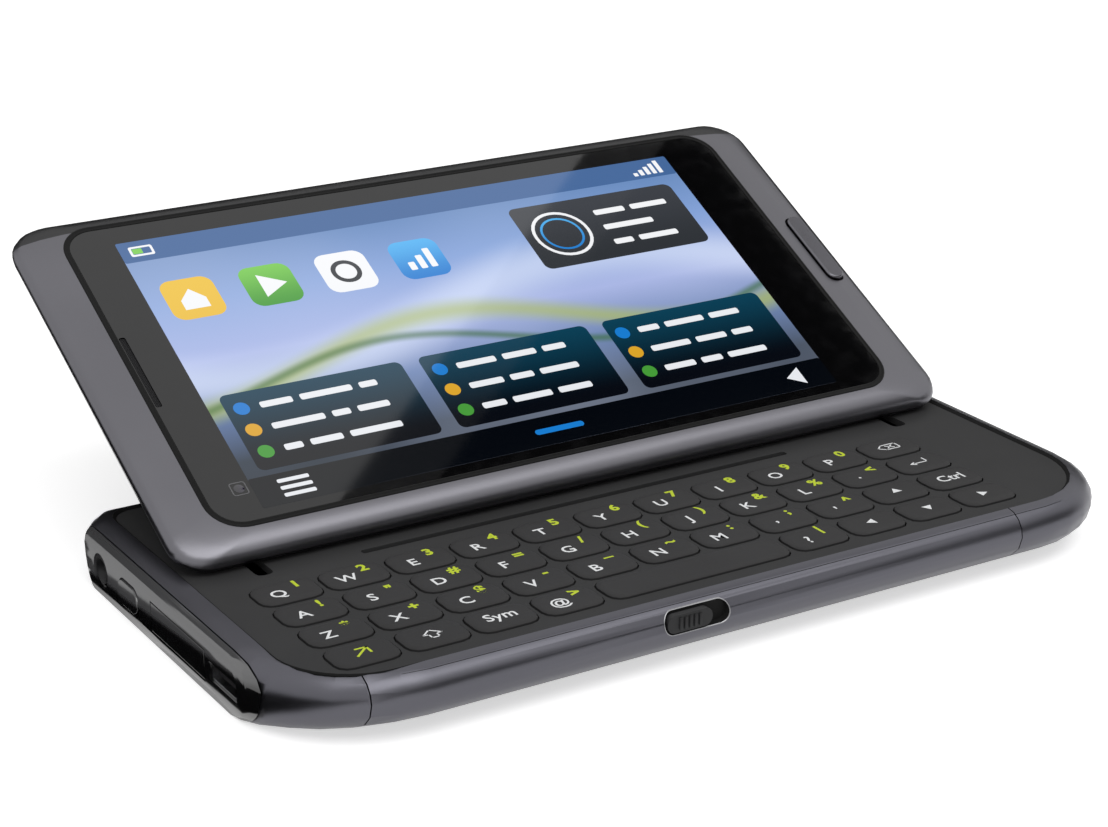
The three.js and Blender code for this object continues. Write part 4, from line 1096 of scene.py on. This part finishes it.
# %% [markdown]
# Dark joint and painted shade round the deck
#
# Where the deck meets the housing, a dark joint follows its whole outline, and
# the wall above it lies in shade. A thin ring of black rubber fills the joint and
# lines that wall up to the housing's top, so it is partly a real joint and partly
# painted shade on the wall. Its corners differ, so its outline takes one radius
# for each.

# %% Dark joint and painted shade round the deck
DECK_RADII = (10.5, 12.5, 3.4, 3.4)
DECK_STEPS = 12


def around_deck(grow, height):
    low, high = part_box("keyboard_deck")
    x0, x1 = low.x / MM - grow, high.x / MM + grow
    y0, y1 = low.y / MM - grow, high.y / MM + grow
    turns = ((x0, y0, 1, 1, 180), (x1, y0, -1, 1, 270), (x1, y1, -1, -1, 0), (x0, y1, 1, -1, 90))
    points = []
    for (x, y, inward_x, inward_y, start), radius in zip(turns, DECK_RADII):
        radius += grow
        middle_x, middle_y = x + inward_x * radius, y + inward_y * radius
        for step in range(DECK_STEPS + 1):
            angle = math.radians(start + 90 * step / DECK_STEPS)
            points.append((*around(middle_x, middle_y, radius, angle), height))
    return points


DECK_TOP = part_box("keyboard_deck")[1].z / MM
JOINT_HEIGHT = HOUSING_TOP - DECK_TOP
# The ring reaches up the wall to the housing's top: painted shade on the wall.
JOINT_AND_SHADE_SECTION = [
    (-0.30, 0.005), (-0.12, 0.03), (0.06, JOINT_HEIGHT - 0.02),
    (0.12, JOINT_HEIGHT), (0.12, -0.2), (-0.1, -0.1),
]
joint_and_shade = hoop([around_deck(grow, DECK_TOP + rise) for grow, rise in JOINT_AND_SHADE_SECTION])
add_piece("deck_joint_and_shade", [(*joint_and_shade, rubber)], "base", smooth=True)
print("deck joint", round(JOINT_HEIGHT, 2), "mm high")

# %% [markdown]
# Linings of the sockets
#
# A socket in a housing shows the shell of the part behind it. The jack has a
# round plastic sleeve, and the charging socket a bent steel shell with a black
# tongue. Each is one outline drawn at a few depths and joined up. Both start
# just inside the panel, in line with its holes.

# %% Linings of the sockets
PANEL_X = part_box("port_panel")[0].x / MM
PORT_HEIGHT = 3.4
JACK_SHARE = 0.764
CHARGING_SHARE = 0.3851
JACK_Y = -FRONT_Y * JACK_SHARE
USB_Y = FRONT_Y * CHARGING_SHARE
JACK_RADIUS = 1.75
USB_LENGTH = 7.5
USB_WIDTH = 2.4
USB_CORNER = 0.5
TONGUE_INSET = 0.6
TONGUE_RISE = 0.2
TONGUE_LENGTH = 4.6
TONGUE_WIDTH = 0.6
TONGUE_REACH = 3.0
JACK_SECTION = ((-0.02, 3.0), (-0.02, 0.12), (-0.22, 0.14), (-0.22, 3.0))
SHELL_SECTION = ((-0.05, 3.6), (-0.05, 0.3), (-0.3, 0.3), (-0.3, 3.6))


def sleeve(outline_of, steps, material):
    """A tube along X whose section is given by an outline, from (growth, depth) pairs."""
    loops = [[(PANEL_X + depth, y, z) for y, z in outline_of(grow)] for grow, depth in steps]
    return (*hoop(loops), material)


def jack_outline(grow):
    turns = [math.tau * step / 32 for step in range(32)]
    return [around(JACK_Y, PORT_HEIGHT, JACK_RADIUS + grow, turn) for turn in turns]


def usb_outline(grow):
    length, width = USB_LENGTH + 2 * grow, USB_WIDTH + 2 * grow
    return rounded(length, width, USB_CORNER + grow, USB_Y, PORT_HEIGHT)


jack = sleeve(jack_outline, JACK_SECTION, grip)
add_piece("jack_sleeve", [jack], "base", smooth=True)
shell = sleeve(usb_outline, SHELL_SECTION, bright_metal)
tongue_end = rounded(TONGUE_LENGTH, TONGUE_WIDTH, 0.15, USB_Y, PORT_HEIGHT + TONGUE_RISE, 3)
points, faces = plate(tongue_end, 0, TONGUE_REACH)
tongue = ([(PANEL_X + TONGUE_INSET + reach, y, z) for y, z, reach in points], faces, grip)
add_piece("charging_shell", [shell, tongue], "base")
print("panel face at", round(PANEL_X, 2), "mm")

# %% [markdown]
# Camera in the underside
#
# The camera looks out through a round black window, and two small lamps sit
# beside its lens. A turned part is the simplest way to a lens: a profile turned
# about its axis, with its face just inside the flat underside.

# %% Camera in the underside
CAMERA_X = -38.0
WINDOW_RADIUS = 5.15
FLASH_X = 3.5
FLASH_Y = 1.3
ring = turned([
    (0, 0.33), (WINDOW_RADIUS, 0.33), (WINDOW_RADIUS, 0.08), (4.7, 0.05), (4.4, 0.12),
    (4.35, 0.20), (0, 0.20),
])
lens = turned([(0, 0.86), (2.55, 0.86), (2.55, 0.16), (2.2, 0.12), (1.4, 0.16), (0, 0.10)])
flash = turned([(0, 0.20), (0.75, 0.20), (0.75, 0.11), (0.4, 0.07), (0, 0.06)], 20)


def flash_white():
    paint = Paint("flash_lens", specular=0.6)
    columns, rows = (paint.along("X") * 12).sine(), (paint.along("Y") * 12).sine()
    cells = columns * rows * 0.5 + 0.5
    paint.set("Base Color", paint.mix(cells, (0.55, 0.55, 0.48), (0.85, 0.85, 0.78)))
    paint.set("Roughness", 0.12 + cells * 0.1)
    return paint.material


flash_material = flash_white()
camera_shapes = [(*ring, gloss), (*lens, lens_glass)]
for side in (-1, 1):
    points = [(x + FLASH_X, y + side * FLASH_Y, z) for x, y, z in flash[0]]
    camera_shapes.append((points, flash[1], flash_material))
WINDOW_PLACE = Matrix.Translation(Vector((CAMERA_X, 0, 0)) * MM)
add_piece("rear_camera", camera_shapes, "base", WINDOW_PLACE, smooth=True)
print("camera window", WINDOW_RADIUS * 2, "mm wide")

# %% [markdown]
# Studio
#
# Dark metal shows its shape by what it mirrors, so the room is white and the
# lamps are wide. The floor looks white to the camera and still takes a shadow.
# Both are whiter where something looks at them than where they only light the
# part, so a white background doesn't wash out the colours. The studio's sizes
# are in metres, but for the floor's small drop.

# %% Floor and room
FLOOR_REACH = 3
FLOOR_DROP = 0.02
FLOOR_WHITE = 0.8
ROOM_LIGHT = 0.55
FLOOR_GLOW = 1 - FLOOR_WHITE * ROOM_LIGHT


def sheet(name, corners, material):
    """A flat sheet of the studio with four corners, in metres."""
    mesh = bpy.data.meshes.new(name)
    mesh.from_pydata(corners, [], [(0, 1, 2, 3)])
    mesh.materials.append(material)
    made = bpy.data.objects.new(name, mesh)
    bpy.context.scene.collection.objects.link(made)
    return made


def add_floor():
    paint = Paint("floor_white", roughness=0.9, specular=0.0)
    paint.set("Base Color", [FLOOR_WHITE] * 3)
    surface = Value(paint, paint.shader.outputs[0])
    glow = paint.node("ShaderNodeEmission", {"Strength": paint.looked_at() * FLOOR_GLOW})
    both = paint.node("ShaderNodeAddShader", [surface, glow])
    paint.put(paint.tree.nodes["Material Output"].inputs["Surface"], both)
    square = ((-1, -1), (1, -1), (1, 1), (-1, 1))
    corners = [(x * FLOOR_REACH, y * FLOOR_REACH, 0) for x, y in square]
    floor = sheet("floor", corners, paint.material)
    floor.location.z = -FLOOR_DROP * MM


def add_world():
    world = bpy.data.worlds.new("studio")
    world.use_nodes = True
    bpy.context.scene.world = world
    room = Tree(world.node_tree)
    background = room.tree.nodes["Background"]
    room.put(background.inputs["Color"], (1, 1, 1))
    room.put(background.inputs["Strength"], room.looked_at() * (1 - ROOM_LIGHT) + ROOM_LIGHT)


add_floor()
add_world()
print("room light", ROOM_LIGHT)

# %% [markdown]
# Cards
#
# A photographer of dark metal puts cards round it, out of view, for the metal to
# mirror. A dark and a grey one hang above, and their corners are found from the
# glass: points of the glass are mirrored from the camera up to the cards' height,
# so the right part of the glass stays black. One stands behind and darkens the
# brim at the port end, one stands low in front and draws a dark band along the
# front, and one lies at the port end. They are seen only in reflections and
# throw no shadow.

# %% Cards
CARD_HEIGHT = 0.42
BLACK_FELT = 0.006
LID_NORMAL = (LID.to_3x3() @ Vector((0, 0, 1))).normalized()


def mirrored_place(x, y):
    """Where the camera's ray goes at the card's height after the glass mirrors it."""
    point = LID @ (Vector((x, y, 0)) * MM)
    ray = (point - CAMERA_PLACE).normalized().reflect(LID_NORMAL)
    return point + ray * ((CARD_HEIGHT - point.z) / ray.z)


def felt(name, shade):
    paint = Paint(name, specular=0.0)
    paint.set("Base Color", paint.mix(paint.noise(40), [shade] * 3, [shade * 1.2] * 3))
    return paint.material


def add_card(name, corners, shade):
    card = sheet(name, corners, felt(name + "_felt", shade))
    card.visible_camera = False
    card.visible_diffuse = False
    card.visible_shadow = False
    print(name, [[round(v, 2) for v in corner] for corner in corners])


def standing(start, end, height):
    """The corners of a card that stands on the floor between two places."""
    return [(*start, 0), (*end, 0), (*end, height), (*start, height)]


DARK_ON_GLASS = ((-24.5, -30.0), (52.5, -30.0), (52.5, 28.5), (47.0, 28.5))
GREY_ON_GLASS = ((-38.7, -30.0), (-24.5, -30.0), (47.0, 28.5), (32.4, 28.5))
add_card("dark_card", [mirrored_place(*corner) for corner in DARK_ON_GLASS], BLACK_FELT)
add_card("grey_card", [mirrored_place(*corner) for corner in GREY_ON_GLASS], 0.20)
add_card("rear_card", standing((-0.10, 0.15), (0.50, 0.15), 0.115), BLACK_FELT)
add_card("front_card", standing((-0.155, -0.70), (0.695, -0.20), 0.25), 0.12)
PORT_SIDE = ((-0.90, -0.06), (-0.0625, -0.06), (-0.0625, 1.2), (-0.90, 1.2))
PORT_CARD_LIFT = 0.0002
add_card("port_card", [(x, y, PORT_CARD_LIFT) for x, y in PORT_SIDE], 0.004)

# %% [markdown]
# Lamps
#
# One wide lamp above on the left models the metal. One in front on the right is
# mirrored by the upper brims and draws a light line along them.

# %% Lamps
LAMP_AIM = Vector((0, 0, 0.01))


def add_lamp(name, place, size, power):
    data = bpy.data.lights.new(name, "AREA")
    data.shape = "RECTANGLE"
    data.size, data.size_y = size
    data.energy = power
    lamp = bpy.data.objects.new(name, data)
    bpy.context.scene.collection.objects.link(lamp)
    lamp.location = place
    lamp.rotation_euler = (LAMP_AIM - lamp.location).to_track_quat("-Z", "Y").to_euler()
    lamp.visible_camera = False
    print(name, power, "W")


add_lamp("key_lamp", Vector((-0.12, -0.42, 0.84)), (0.8, 0.6), 3.3)
add_lamp("brim_lamp", Vector((0.33, -0.40, 0.78)), (0.7, 0.2), 0.8)
